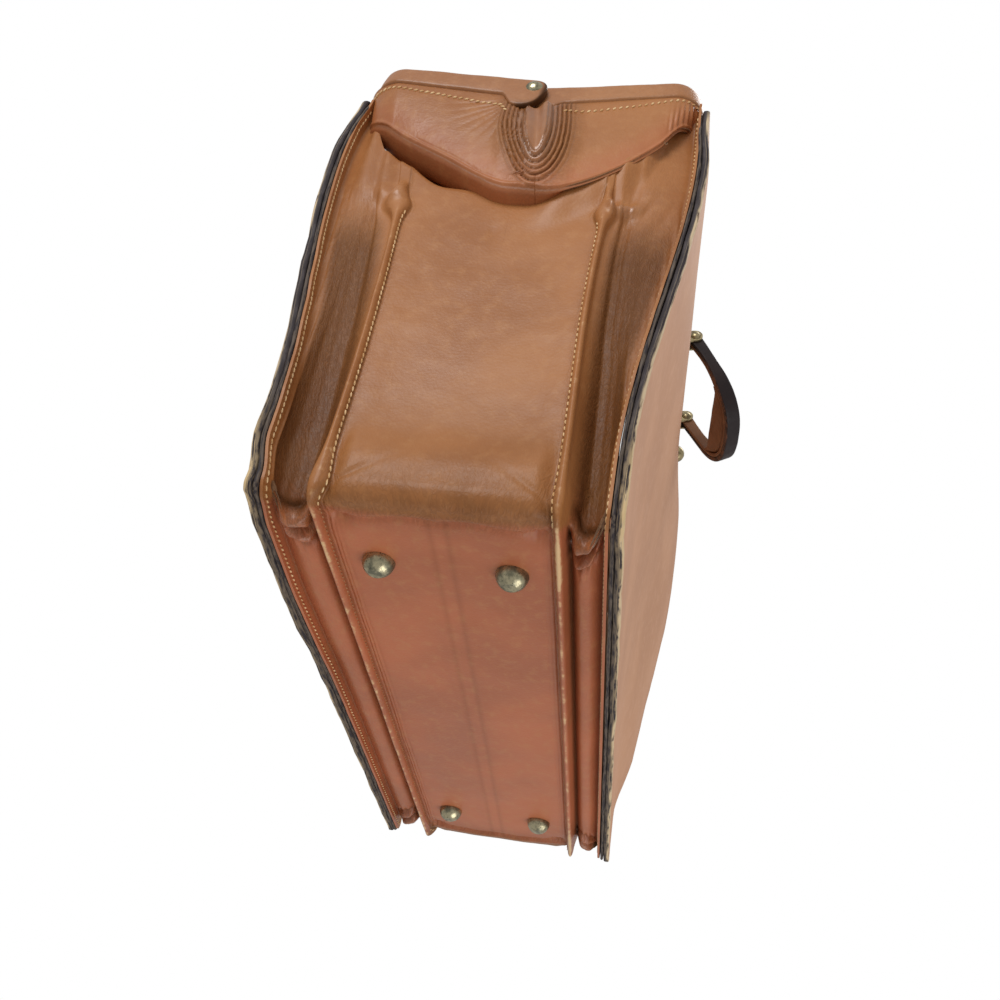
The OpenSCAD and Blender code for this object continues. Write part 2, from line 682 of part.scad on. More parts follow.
// The strap's arch: a rounded stirrup in the handle's plane, X along the grip, Y away.
arch_n = 2.7;
arch_steps = 28;
function arch(a, d) = [for (i = [0 : arch_steps])
  let (w = 180 * i / arch_steps, c = cos(w), s = sin(w))
  [a * sign(c) * pow(abs(c), 2 / arch_n), d * pow(abs(s), 2 / arch_n)]];
arch_a = handle_span / 2 + strap_t / 2;
module handle_place() {
  front_half() translate([handle_x, pin_y, pin_z]) rotate([-handle_droop, 0, 0]) children();
}
module strap_outline() {
  polygon(concat([[arch_a, -eye_w]], arch(arch_a, handle_reach), [[-arch_a, -eye_w]]));
}
module strap_inside() {
  polygon(concat([[arch_a - strap_t, -eye_w - 1]], arch(arch_a - strap_t, handle_reach - strap_t),
    [[-arch_a + strap_t, -eye_w - 1]]));
}
// The strap seen along the grip: round eyes that widen to the grip.
module strap_side() {
  circle(d = eye_w);
  polygon([[0, -eye_w / 2], [strap_widen, -grip_w / 2], [handle_reach + 1, -grip_w / 2],
    [handle_reach + 1, grip_w / 2], [strap_widen, grip_w / 2], [0, eye_w / 2]]);
}
module handle_strap() {
  color([0.16, 0.11, 0.1]) handle_place() difference() {
    intersection() {
      linear_extrude(height = 2 * grip_w, center = true) difference() {
        strap_outline();
        strap_inside();
      }
      along_x(2 * arch_a + 2) strap_side();
    }
    translate([-arch_a - 1, 0, 0]) rotate([0, 90, 0])
      cylinder(d = pin_d + 2, h = 2 * arch_a + 2);
  }
}
pad_w = grip_w - 1;
pad_edge_r = pad_w * 0.3;
module handle_pad() {
  color([0.36, 0.19, 0.11]) handle_place() intersection() {
    linear_extrude(height = pad_w, center = true) intersection() {
      strap_inside();
      translate([-arch_a, pad_d]) square([2 * arch_a, handle_reach]);
    }
    along_x(2 * arch_a) round_rect([pad_d, -pad_w / 2], [handle_reach + 4, pad_w / 2], pad_edge_r);
  }
}
module handle_eyelets() {
  color([0.75, 0.62, 0.38]) handle_place() for (s = [-1, 1])
    translate([s * handle_span / 2 - strap_t / 2, 0, 0]) rotate([0, 90, 0]) difference() {
      cylinder(d = pin_d + 2, h = strap_t);
      translate([0, 0, -1]) cylinder(d = pin_d + 2 * bore_gap, h = strap_t + 2);
    }
}

// Lock on the front bar
lock_rivet_d = 2.2;
boss_x = lock_x + 16.5;
module at_lock_rivets() {
  for (x = [lock_x + 3, lock_x + lock_l - 3]) translate([x, 0, lock_z]) children();
}
stem_w = 3;
stem_l = 7;
stem_x = thumb_x + thumb_l / 2 - stem_l / 2;
stem_z = lock_z - stem_w / 2 + 0.5;
module lock_plate() {
  color([0.74, 0.6, 0.34]) front_half() difference() {
    translate([0, leg_r, lock_z]) rotate([-90, 0, 0]) linear_extrude(height = lock_t)
      round_rect([lock_x, -lock_w / 2], [lock_x + lock_l, lock_w / 2], 3.5);
    at_lock_rivets() translate([0, leg_r - 1, 0]) rotate([-90, 0, 0])
      cylinder(d = lock_rivet_d + 2 * bore_gap, h = lock_t + 2);
    translate([stem_x - lock_travel - slide_gap, leg_r - 1, stem_z - slide_gap])
      cube([stem_l + lock_travel + 2 * slide_gap, lock_t + 2, stem_w + 2 * slide_gap]);
  }
}
module lock_boss() {
  color([0.78, 0.66, 0.4]) front_half() translate([boss_x, lock_face, lock_z])
    rotate([-90, 0, 0]) difference() {
      union() {
        linear_extrude(height = 2)
          round_rect([-boss_l / 2, -boss_d / 2], [boss_l / 2, boss_d / 2], boss_d * 0.45);
        translate([0, 0, 2]) cylinder(d = boss_d - 1, h = boss_h * 0.35);
        translate([0, 0, 2 + boss_h * 0.35]) dome(boss_d - 1, boss_h * 0.65 - 2);
      }
      translate([0, 0, boss_h - 3]) cylinder(d = 2.4, h = 4);
      translate([-0.6, 0, boss_h - 3]) cube([1.2, 3.4, 4]);
    }
}
module lock_case() {
  color([0.66, 0.54, 0.32]) front_half() difference() {
    translate([case_x0, case_y0, -case_low])
      cube([case_x1 - case_x0, case_y1 - case_y0, band_top + case_low - 0.2]);
    // Room for the bolt and its stem
    translate([case_x0 + case_wall, case_y0 + case_wall, -case_low + case_wall])
      cube([case_x1 - case_x0 - 2 * case_wall, case_y1 - case_y0 - 2 * case_wall,
        band_top + case_low - 0.2 - 2 * case_wall]);
    // Slot for the stem
    translate([stem_x - lock_travel - slide_gap, case_y1 - 2, stem_z - slide_gap])
      cube([stem_l + lock_travel + 2 * slide_gap, 4, stem_w + 2 * slide_gap]);
    // Mouth for the catch lug
    translate([lug_x - lug_t / 2 - 1, case_y0 - 1, bolt_z - lug_reach + lug_hole_z - body_gap])
      cube([lug_t + 2, case_y1 - case_y0 + 2, band_top + lug_reach - lug_hole_z]);
  }
}
module lock_rivets() {
  color([0.78, 0.66, 0.4]) front_half() at_lock_rivets() bar_rivet(lock_rivet_d, lock_face);
}
// The ribbed thumb piece slides the bolt; its stem passes through plate and case.
rib_pitch = 2;
module lock_thumb() {
  ribs = floor((thumb_l - 4) / rib_pitch);
  color([0.5, 0.42, 0.28]) front_half() {
    translate([thumb_x, lock_face + slide_gap, lock_z]) rotate([0, 90, 0]) rotate([0, 0, 90])
      translate([0, -thumb_w / 2, 0]) cube([thumb_h - 1, thumb_w, thumb_l]);
    for (i = [0 : ribs])
      translate([thumb_x + 2 + i * rib_pitch, lock_face + slide_gap + thumb_h - 1, lock_z])
        linear_extrude(height = thumb_w, center = true)
          polygon([[-rib_pitch * 0.4, -0.1], [0, 1.1], [rib_pitch * 0.4, -0.1]]);
    translate([stem_x, case_y1 - 1.5, stem_z])
      cube([stem_l, lock_t + slide_gap + 1.6, stem_w]);
  }
}
module lock_bolt() {
  color([0.6, 0.58, 0.55]) front_half() {
    translate([bolt_x, bolt_y, bolt_z]) rotate([0, 90, 0]) cylinder(d = bolt_d, h = bolt_l);
    translate([bolt_x + bolt_l, case_y0 + case_wall + slide_gap, stem_z])
      cube([stem_x + stem_l - bolt_x - bolt_l, case_y1 - 1.5 - case_y0 - case_wall - slide_gap,
        bolt_z + bolt_d / 2 - stem_z]);
  }
}

bottom_leather();
base_board();
foot_studs();
foot_washers();
near_gusset();
far_gusset();
rear_panel();
rear_seam();
rear_lining();
front_panel();
front_seam();
front_lining();
rear_frame_steel();
rear_frame_cover();
rear_folds();
pivot_rivets();
catch_lug();
lug_rivets();
front_frame_steel();
front_frame_cover();
front_folds();
pivot_burrs();
handle_brackets();
handle_pins();
bracket_rivets();
lock_plate();
lock_boss();
lock_case();
lock_rivets();
lock_thumb();
lock_bolt();
handle_strap();
handle_pad();
handle_eyelets();
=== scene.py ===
import math
import bpy
import bmesh
import numpy as np
from mathutils import Vector, Matrix, noise


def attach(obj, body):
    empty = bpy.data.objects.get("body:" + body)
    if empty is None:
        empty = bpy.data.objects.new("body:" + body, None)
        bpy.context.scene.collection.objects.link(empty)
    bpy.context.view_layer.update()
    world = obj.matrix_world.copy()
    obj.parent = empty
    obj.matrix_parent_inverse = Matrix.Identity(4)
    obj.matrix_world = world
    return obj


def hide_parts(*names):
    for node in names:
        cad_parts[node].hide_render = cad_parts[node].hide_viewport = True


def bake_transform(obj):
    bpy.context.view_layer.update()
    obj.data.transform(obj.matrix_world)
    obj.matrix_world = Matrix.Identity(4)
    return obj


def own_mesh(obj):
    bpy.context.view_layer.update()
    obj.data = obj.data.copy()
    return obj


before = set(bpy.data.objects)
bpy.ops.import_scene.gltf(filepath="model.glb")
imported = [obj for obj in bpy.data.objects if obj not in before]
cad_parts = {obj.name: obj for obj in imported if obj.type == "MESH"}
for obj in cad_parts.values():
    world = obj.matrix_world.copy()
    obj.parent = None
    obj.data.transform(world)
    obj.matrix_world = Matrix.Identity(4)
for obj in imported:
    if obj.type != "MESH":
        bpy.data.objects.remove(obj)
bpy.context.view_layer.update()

# Camera, light and floor. The camera looks at the near end from below and from the front,
# as the photograph does, so the bottom with its four feet faces it. The floor is seen
# only from above: from below it lets the camera through.
cam_data = bpy.data.cameras.new("camera")
cam_data.sensor_width = 36
cam_data.lens = 36
cam_data.clip_start = 0.01
camera = bpy.data.objects.new("camera", cam_data)
bpy.context.scene.collection.objects.link(camera)
right = Vector((0.068, -0.98371, 0.16598))
down = Vector((0.6145, -0.08991, -0.78568))
forward = Vector((0.78593, 0.15543, 0.59596))
turn = Matrix((right, -down, -forward)).transposed().to_4x4()
camera.matrix_world = Matrix.Translation((-0.5105, -0.0893, -0.2275)) @ turn
bpy.context.scene.camera = camera
bpy.context.scene.view_settings.view_transform = "Standard"


def lamp(name, place, aim, size, power):
    data = bpy.data.lights.new(name, "AREA")
    data.shape = "DISK"
    data.size = size
    data.energy = power
    o = bpy.data.objects.new(name, data)
    bpy.context.scene.collection.objects.link(o)
    way = Vector(aim) - Vector(place)
    o.matrix_world = Matrix.Translation(place) @ way.to_track_quat("-Z", "Y").to_matrix().to_4x4()
    return o


lamp("end lamp", (-1.5, 0.35, 0.75), (0, 0, 0.15), 0.8, 12.5)
lamp("low lamp", (0.05, -0.85, -1.1), (0, 0, 0.1), 1.2, 7.5)
lamp("top lamp", (0.5, -0.7, 1.7), (0, 0, 0.15), 1.0, 11)


def fill(tree, n, **given):
    # Sets a node's properties, or its inputs by name or number. Another node, or an output
    # of one, is linked to the input.
    for key, value in given.items():
        if hasattr(n, key):
            setattr(n, key, value)
            continue
        entry = n.inputs[int(key[1:]) if key[1:].isdigit() else key.replace("_", " ")]
        if isinstance(value, bpy.types.Node):
            value = value.outputs[0]
        if isinstance(value, bpy.types.NodeSocket):
            tree.links.new(value, entry)
        else:
            entry.default_value = value
    return n


def node(tree, kind, **given):
    return fill(tree, tree.nodes.new(kind), **given)


def calc(tree, kind, *values):
    return node(tree, "ShaderNodeMath", operation=kind, **{f"i{k}": v for k, v in enumerate(values)})


world = bpy.data.worlds.new("world")
bpy.context.scene.world = world
world.use_nodes = True
sky = world.node_tree
sky.nodes.clear()
path = node(sky, "ShaderNodeLightPath")
seen = calc(sky, "MAXIMUM", path.outputs["Is Camera Ray"], path.outputs["Is Transmission Ray"])
dim = node(sky, "ShaderNodeBackground", Color=(1, 1, 1, 1), Strength=0.5)
white = node(sky, "ShaderNodeBackground", Color=(1, 1, 1, 1), Strength=1.0)
node(sky, "ShaderNodeOutputWorld", i0=node(sky, "ShaderNodeMixShader", i0=seen, i1=dim, i2=white))

floor_mesh = bpy.data.meshes.new("floor")
floor_mesh.from_pydata([(-3, -3, 0), (3, -3, 0), (3, 3, 0), (-3, 3, 0)], [], [(0, 1, 2, 3)])
floor = bpy.data.objects.new("floor", floor_mesh)
bpy.context.scene.collection.objects.link(floor)
floor_mat = bpy.data.materials.new("pale floor")
floor_mat.use_nodes = True
paint = floor_mat.node_tree
paint.nodes.clear()
path = node(paint, "ShaderNodeLightPath")
from_above = calc(paint, "SUBTRACT", 1.0, node(paint, "ShaderNodeNewGeometry").outputs["Backfacing"])
show = calc(paint, "MULTIPLY", from_above, path.outputs["Is Camera Ray"])
clear = node(paint, "ShaderNodeBsdfTransparent")
pale = node(paint, "ShaderNodeBsdfDiffuse", Color=(0.86, 0.86, 0.85, 1))
node(paint, "ShaderNodeOutputMaterial", i0=node(paint, "ShaderNodeMixShader", i0=show, i1=clear, i2=pale))
floor_mesh.materials.append(floor_mat)


# Bottom and end gussets: soft tan leather in one run down an end, along the bottom and up
# the other end. Two pinched ridges are sewn along it, and a pleat lies between each ridge
# and the side panel, to which the leather's edge is sewn as a flange.
half_l = 200.0
ridge_y = 51.0
ridge_z0 = 1.8
ridge_end = 200.0
bend_r = 8.0
leather_t = 1.3
flange_in = 4.1


def ease(t):
    t = np.clip(t, 0, 1)
    return t * t * (3 - 2 * t)


def hump(x, middle, width):
    return np.exp(-((x - middle) / width) ** 2)


def panel_in(z):
    return 74 + 22 * ease((z - 30) / 220)


def bow(x, z, side):
    # How far the soft case bulges past its straight shape, measured at the panels.
    up = ease((z - 10) / 26)
    if side > 0:
        top = 1 - (1 - 0.45 * hump(x, -200, 30)) * ease((z - 264) / 30)
        low = (3 + 2.2 * hump(x, -110, 60)) * (0.4 + 0.6 * ease((x + 200) / 30))
        return low * (1 - up) + 6.2 * up * top
    return 7.2 * ease((x - 40) / 120) * ease((z - 36) / 50) * (1 - ease((z - 266) / 28))


def fold_line(y):
    return 206 + 79 * np.minimum(np.abs(y) / 96, 1) ** 2


def fold_drop(y, side):
    # Height of the swag's lowest line; the rear half hangs a little higher.
    a = np.abs(y)
    rear = 5 + 8.5 * hump(a, 40, 26) * ease(a / 20) - 5 * ease((a - 55) / 35)
    front = 5 * (1 - ease(a / 25)) + 7 * ease((a - 72) / 12)
    return fold_line(y) + (rear if side > 0 else front)


def shelf(y, side):
    # Height at which the lower leather turns in behind the swag.
    a = np.abs(y)
    dip = -15 * hump(a, 46, 18) if side > 0 else 6 * ease((a - 12) / 20)
    rise = 26 * ease((a - 68) / 14) if side > 0 else 24 * ease((a - 66) / 14)
    return np.minimum(fold_drop(y, side) + dip + rise, 293)


def lean(z, side):
    # The ridges aren't quite upright: the rear one leans outwards, the front one inwards.
    return -1.8 + 8.7 * (z / 200) ** 2 if side > 0 else -2.8 * hump(z, 130, 80)


def past_ridge(y, z, side):
    # Place beyond the end of a ridge: along the line in which it runs out, and off that line.
    aside, rise = (0.5, 0.86) if side > 0 else (0.9, 0.43)
    y, z = y - ridge_y, z - ridge_end
    return y * aside + z * rise, y * rise - z * aside


def rough(points, size, seed=0, octaves=2):
    # Even noise, about -1 to 1, read at points in millimetres.
    v = [noise.fractal(Vector((p[0] / size + seed * 7.3, p[1] / size - seed * 3.1, p[2] / size)),
                       1.0, 2.0, octaves) for p in points.reshape(-1, 3)]
    return np.array(v).reshape(points.shape[:-1])


def along_keys(keys, q, shape):
    # A smooth curve through the keys; q is the place between them for each column.
    k = np.stack([np.broadcast_to(v, shape) for v in keys])
    i = np.clip(np.floor(q).astype(int), 0, len(keys) - 2)
    t = (q - i)[:, None]
    cols = np.arange(len(q))
    a, b, c, d = (k[np.clip(i + s, 0, len(keys) - 1), cols] for s in (-1, 0, 1, 2))
    return 0.5 * (2 * b + (c - a) * t + (2 * a - 5 * b + 4 * c - d) * t ** 2
                  + (3 * b - a - 3 * c + d) * t ** 3)


def end_section(q, z, top, side):
    pleat = 21 - 12 * ease(z / 200)
    pleat = pleat + (5.5 - pleat) * ease((z - 198) / 28)
    hollow = 3 * ease(z / 60)
    sink = ease((z - top + 12) / 14)
    bulb = 1 + 1.5 * hump(z, 199, 8) + (1.1 if side > 0 else 0.3) * hump(z, 12, 14)
    edge = panel_in(z) - flange_in
    slide = lean(z, side)
    at = ridge_y + slide
    valley = 61 + 3 * ease((z - 190) / 40) + 0.8 * slide
    foot = np.minimum(at - 4.5, at - 2.4 * bulb - 1.4)
    ys = [0, 16, 32 + 0.4 * slide, np.minimum(42 + 0.8 * slide, foot - 2), foot, at - 2.4 * bulb,
          at - 1.4 * bulb, at, at + 1.4 * bulb, at + 2.4 * bulb, at + 5.8 + bulb, valley, valley + 7,
          np.maximum(edge - 6, valley + 10), edge - 1.2, edge, edge + 0.3]
    lift = 1.3 + 3.7 * sink
    ds = [5 + hollow, 5 + 0.9 * hollow, 5 + 0.6 * hollow, 5 + 0.2 * hollow, 5.1, 4.6, lift,
          5 * sink, lift, 5.6, pleat * 0.72, pleat, pleat * 0.82, 6.5 + 0.18 * pleat, 8.6, 6.6, 0.9]
    return along_keys(ys, q, z.shape), along_keys(ds, q, z.shape)


def bottom_section(q, z):
    edge = 74 - flange_in
    ys = [0, 16, 32, 42, 46.5, 48.5, 49.6, ridge_y, 52.4, 53.4, 54.9, 58.5, 62.8, edge - 3.4,
          edge - 0.9, edge, edge]
    ds = [5, 5, 5, 5, 5.2, 5.4, 1.4, 0, 1.4, 6.5, 11.5, 5.4, 4.6, 7.2, 9.2, 6.8, 1.7]
    return along_keys(ys, q, z.shape), along_keys(ds, q, z.shape)


columns = np.unique(np.concatenate([np.arange(0, 3, 0.15), np.arange(3, 9, 0.125),
                                    np.arange(9, 13, 0.16), np.arange(13, 16.01, 0.25)]).round(3))
wall_rows, bend_rows, floor_rows = 116, 14, 64
# Steps inwards and upwards by which the top turns in and rises behind the swag.
roll = [(0.9, 1.6), (2.4, 3.4), (4.8, 4.8), (7.6, 5.6), (10.4, 6.6), (13, 9), (15, 14), (16, 22),
        (16.5, 34)]
# Heights at which the ridges have sunk into the leather, for the shelf and for the wall.
sunk_shelf, sunk_wall = 230.0, 222.0


def lower_grid(q, far, side):
    # Points of one end, from the shelf under the swag down to the middle of the bottom.
    n = len(q)
    zero = np.zeros((n, 1))
    y_top, _ = end_section(q, zero + 215, sunk_shelf, side)
    top = shelf(y_top, side)
    _, d_low = bottom_section(q, zero)
    base = ridge_z0 + d_low
    low = base + bend_r
    t = np.linspace(1, 0, wall_rows)[None, :] ** 1.25
    z = low + (top - low) * t
    y, d = end_section(q, z, sunk_wall, side)
    wall = np.stack([-half_l + d, y, z], -1)
    n_wall = np.stack([-np.ones_like(z), 0 * z, 0 * z], -1)
    h_wall = z - low + 12.6
    k = len(roll)
    less = 1 - 0.92 * ease((np.abs(wall[:, :1, 1]) - 50) / 38)
    steps = np.array(roll[::-1])
    over = np.repeat(wall[:, :1], k, 1)
    over[..., 0] += steps[:, 0]
    over[..., 2] += steps[:, 1] * less
    n_over = np.broadcast_to(np.linspace([-0.1, 0, 0.1], [-0.9, 0, 0.4], k), (n, k, 3))
    y_low, d_end = end_section(q, low, sunk_wall, side)
    y_base, _ = bottom_section(q, zero)
    x_bend = -half_l + d_end + bend_r
    turn_by = np.linspace(90, 0, bend_rows + 2)[None, 1:-1]
    s, c = np.sin(np.radians(turn_by)), np.cos(np.radians(turn_by))
    share = ease(turn_by / 90)
    bend = np.stack([x_bend - bend_r * s, y_base + (y_low - y_base) * share,
                     base + bend_r * (1 - c)], -1)
    n_bend = np.stack([-s + 0 * x_bend, 0 * bend[..., 0], -c + 0 * x_bend], -1)
    h_bend = bend_r * np.radians(turn_by) + 0 * x_bend
    f = np.linspace(0, 1, floor_rows)[None, :] ** 1.8
    flat = np.stack([x_bend * (1 - f), y_base + 0 * f, base + 0 * f], -1)
    n_flat = np.broadcast_to([0.0, 0, -1], flat.shape)
    h_flat = x_bend * f + 0 * flat[..., 0]
    p = np.concatenate([over, wall, bend, flat], 1)
    nrm = np.concatenate([n_over, n_wall, n_bend, n_flat], 1)
    h = np.concatenate([np.full((n, k), 260.0), h_wall, h_bend, h_flat], 1)
    p = p + nrm * lower_relief(p, h, far, side)[..., None]
    p[..., 1] += bow(-p[..., 0] if far else p[..., 0], p[..., 2], side) * ease((p[..., 1] - 56) / 13)
    return p, h


def lower_relief(p, h, far, side):
    # Rolls, creases and puckers of the worn leather, outwards in millimetres.
    seeded = p + np.array([900.0 if far else 0.0, 0, 0])
    wave = rough(seeded, 34, 1)
    fine = rough(seeded, 9, 2, 3)
    z = p[..., 2]
    y = p[..., 1] - lean(z, side) * ease((h + 2) / 6)
    up = ease(h / 6)
    centre = 1 - ease((y - 40) / 8)
    amp = 0.8 if far else 1.0
    d = 0.45 * wave + 0.12 * fine
    d = d + amp * centre * up * (3.4 * hump(h, 24, 15) + 1.6 * hump(h, 8, 7))
    line = -3 + 1.8 * np.sin(y / 9 + wave)
    d = d - 1.1 * (1 - up) * hump(h, line - 2.2, 1.6) * (1 - ease((y - 44) / 5))
    d = d + 0.9 * hump(h, line + 1.6, 2.4) * centre
    d = d - 2.8 * amp * hump(y, 42.5, 5) * hump(h, -8, 5)
    d = d + 0.35 * np.sin(y * 2.1 + 3 * wave) * hump(h, -6, 6) * hump(y, 41, 6)
    # A crease pulls away from each ridge's foot.
    slant = np.abs((h - 10) - (46 - y) * 0.75) / 1.25
    d = d - 0.9 * amp * hump(slant, 0, 1.3) * ease((47 - y) / 4) * (1 - ease((38 - y) / 22)) * up
    # Tubes of pinched leather where the side pleats turn under.
    pleat = ease((y - 53.5) / 5) * (1 - ease((y - 64.5) / 5))
    curl = h + 2.2 * wave + 1.2 * np.sin(y * 0.7)
    tubes = 5.4 * hump(curl, 2, 3.0) + 4.0 * hump(curl, -8, 2.6) - 3.0 * hump(curl, -3.4, 1.7)
    d = d + pleat * amp * (tubes - 1.6 * hump(curl, 8.5, 2.2) - 1.4 * hump(curl, -13, 2.0))
    d = d + 0.6 * pleat * np.sin(y * 1.9 + 2 * wave) * hump(h, -14, 7)
    # The front half's leather meets the swag; the rear half's stays behind it.
    if side < 0:
        a = p[..., 1]
        d = d + 6.2 * ease(1 - (shelf(a, side) - z) / 26) * ease((a - 4) / 26) * up \
            * (1 - 0.5 * ease((a - 66) / 14))
    # Grooves beside the bottom's ridges, and its two centre creases.
    under = 1 - ease((h + 14) / 8)
    beat = 0.6 + 0.5 * rough(p * np.array([1, 0.2, 1]), 17, 5)
    for at in (47.7, 45.9, 43.9):
        d = d - 0.5 * under * beat * hump(y, at + 0.5 * wave, 0.45)
    d = d + 0.55 * under * beat * hump(y, 5.5 + 0.4 * wave, 0.9)
    d = d - 0.8 * up * hump(y, 0, 1.2) * hump(z, 184, 9)
    # Long shallow folds in the valleys, and the soft end of each ridge.
    d = d + 0.35 * up * np.sin(y * 1.9 + 1.5 * wave + z / 40) * ease((y - 56) / 4) \
        * (1 - ease((z - 205) / 20))
    along, off = past_ridge(y, z, side)
    end = hump(off, 0, 4.4) * ease(along / 4) * (1 - ease((along - 12) / 10))
    return d + (2.4 if side > 0 else 4.4) * end * up


def object_from(name, points, faces, finish=None, uvs=None, marks=None):
    # Points in millimetres make a mesh in metres; uvs and marks are one value a point.
    mesh = bpy.data.meshes.new(name)
    mesh.from_pydata([tuple(v) for v in np.asarray(points).reshape(-1, 3) * 0.001], [], faces)
    if uvs is not None:
        layer = mesh.uv_layers.new(name="UVMap")
        index = np.empty(len(mesh.loops), int)
        mesh.loops.foreach_get("vertex_index", index)
        layer.data.foreach_set("uv", np.asarray(uvs, float).reshape(-1, 2)[index].ravel())
    for key, values in (marks or {}).items():
        mark = mesh.attributes.new(key, "FLOAT", "POINT")
        mark.data.foreach_set("value", np.clip(values, 0, 1).astype(np.float32).ravel())
    mesh.polygons.foreach_set("use_smooth", [True] * len(mesh.polygons))
    if finish is not None:
        mesh.materials.append(finish)
    o = bpy.data.objects.new(name, mesh)
    bpy.context.scene.collection.objects.link(o)
    return o


def grid_faces(n, m, flip=False):
    f = [(i * m + j, (i + 1) * m + j, (i + 1) * m + j + 1, i * m + j + 1)
         for i in range(n - 1) for j in range(m - 1)]
    return [g[::-1] for g in f] if flip else f


def finish_mesh(o):
    # Applies the object's modifiers, so that the piece is a plain mesh.
    bpy.context.view_layer.update()
    made = bpy.data.meshes.new_from_object(o.evaluated_get(bpy.context.evaluated_depsgraph_get()))
    o.modifiers.clear()
    o.data = made
    made.set_sharp_from_angle(angle=math.radians(62))
    return o


def thicken(o, amount, inner=None):
    # Gives a sheet its thickness behind the face that is seen.
    s = o.modifiers.new("thickness", "SOLIDIFY")
    s.thickness = amount * 0.001
    s.offset = -1
    s.use_quality_normals = True
    if inner is not None:
        o.data.materials.append(inner)
        s.material_offset = 1
    return finish_mesh(o)


def skin_group():
    # Worn leather: cloudy tone, fine pebble grain and creases that follow the sheet.
    g = bpy.data.node_groups.new("leather skin", "ShaderNodeTree")
    for key, kind in (("Place", "NodeSocketVector"), ("Sheet", "NodeSocketVector"),
                      ("Wrinkle", "NodeSocketFloat")):
        g.interface.new_socket(key, in_out="INPUT", socket_type=kind)
    for key in ("Cloud", "Fleck", "Lines", "Height"):
        g.interface.new_socket(key, in_out="OUTPUT", socket_type="NodeSocketFloat")
    given = node(g, "NodeGroupInput").outputs
    place = given["Place"]
    cloud = node(g, "ShaderNodeTexNoise", Vector=place, Scale=11.0, Detail=5.0, Roughness=0.55)
    fleck = node(g, "ShaderNodeTexNoise", Vector=place, Scale=160.0, Detail=4.0, Roughness=0.65)
    pebble = node(g, "ShaderNodeTexVoronoi", Vector=place, Scale=620.0, feature="F1")
    pores = node(g, "ShaderNodeTexNoise", Vector=place, Scale=1500.0, Detail=2.0)
    stretch = node(g, "ShaderNodeMapping", Vector=given["Sheet"], Scale=(300, 150, 1))
    lines = node(g, "ShaderNodeTexNoise", Vector=stretch, Scale=1.0, Detail=3.0, Roughness=0.55,
                 Distortion=2.4)
    drawn = calc(g, "MULTIPLY", spread(g, lines, 0.38, 0.62), given["Wrinkle"])
    height = calc(g, "MULTIPLY_ADD", fleck, 0.16, calc(g, "MULTIPLY", drawn, 0.34))
    height = calc(g, "MULTIPLY_ADD", pores, 0.05, height)
    height = calc(g, "MULTIPLY_ADD", pebble, 0.10, height)
    node(g, "NodeGroupOutput", Cloud=cloud, Fleck=fleck, Lines=drawn, Height=height)
    return g


def tint(tree, factor, a, b):
    # Mixes colour b over colour a by the factor; each is three numbers or an output.
    a, b = ((*v, 1) if isinstance(v, tuple) else v for v in (a, b))
    return node(tree, "ShaderNodeMix", data_type="RGBA", i0=factor, i6=a, i7=b).outputs[2]


def spread(tree, value, low, high):
    return node(tree, "ShaderNodeMapRange", interpolation_type="SMOOTHSTEP", i0=value, i1=low, i2=high)


def attribute(tree, name):
    return node(tree, "ShaderNodeAttribute", attribute_name=name).outputs["Fac"]


def bumps(tree, height, strength, distance):
    return node(tree, "ShaderNodeBump", Height=height, Strength=strength, Distance=distance)


skin = skin_group()


def leather(name, base, dark, light, other=None, rough_low=0.42, rough_high=0.6, bump=0.5,
            coat=0.05):
    mat = bpy.data.materials.new(name)
    mat.use_nodes = True
    t = mat.node_tree
    t.nodes.clear()
    at = node(t, "ShaderNodeTexCoord")
    g = node(t, "ShaderNodeGroup", node_tree=skin, Place=at.outputs["Object"],
             Sheet=at.outputs["UV"], Wrinkle=attribute(t, "wrinkle"))
    cloudy = spread(t, g.outputs["Cloud"], 0.36, 0.66)
    colour = tint(t, cloudy, dark, base)
    if other is not None:
        other_tone = tint(t, cloudy, tuple(v * 0.78 for v in other), other)
        colour = tint(t, attribute(t, "under"), colour, other_tone)
    fleck = calc(t, "MULTIPLY", spread(t, g.outputs["Fleck"], 0.45, 0.75), 0.35)
    colour = tint(t, fleck, colour, light)
    # Painted shade: the sunk wrinkle lines are darkened.
    sunk = calc(t, "MULTIPLY", g.outputs["Lines"], 0.42)
    colour = tint(t, sunk, colour, tuple(v * 0.42 for v in dark))
    # Painted shade: this mark darkens creases, valleys, folds and recesses towards a deep brown and
    # lowers the specular there. On the frame bands it also carries the tongue's raw dark edge, which is
    # the leather's own colour.
    painted_shade_and_raw_edge = attribute(t, "painted_shade_and_raw_edge")
    colour = tint(t, painted_shade_and_raw_edge, colour, tuple(v * 0.22 for v in dark))
    # The cream tint is partly real wear on ridges, creases and edges, and partly a painted highlight
    # where the leather's sheen falls.
    rubbed = spread(t, calc(t, "ADD", attribute(t, "wear_and_sheen"), g.outputs["Fleck"]), 0.78, 1.12)
    colour = tint(t, rubbed, colour, (0.72, 0.46, 0.23))
    # Where the leather is stretched tight it is rubbed to a gloss.
    shine = attribute(t, "shine")
    dull = node(t, "ShaderNodeMapRange", i0=g.outputs["Cloud"], i1=0.3, i2=0.7, i3=rough_low,
                i4=rough_high)
    gloss = node(t, "ShaderNodeMix", data_type="FLOAT", i0=shine, i2=dull, i3=0.28)
    shader = node(t, "ShaderNodeBsdfPrincipled", Base_Color=colour, Roughness=gloss,
                  Normal=bumps(t, g.outputs["Height"], bump, 0.0012),
                  Specular_IOR_Level=calc(t, "MULTIPLY_ADD", painted_shade_and_raw_edge, -0.34, 0.38),
                  Coat_Weight=calc(t, "MULTIPLY_ADD", shine, 0.8, coat), Coat_Roughness=0.3)
    node(t, "ShaderNodeOutputMaterial", i0=shader)
    return mat


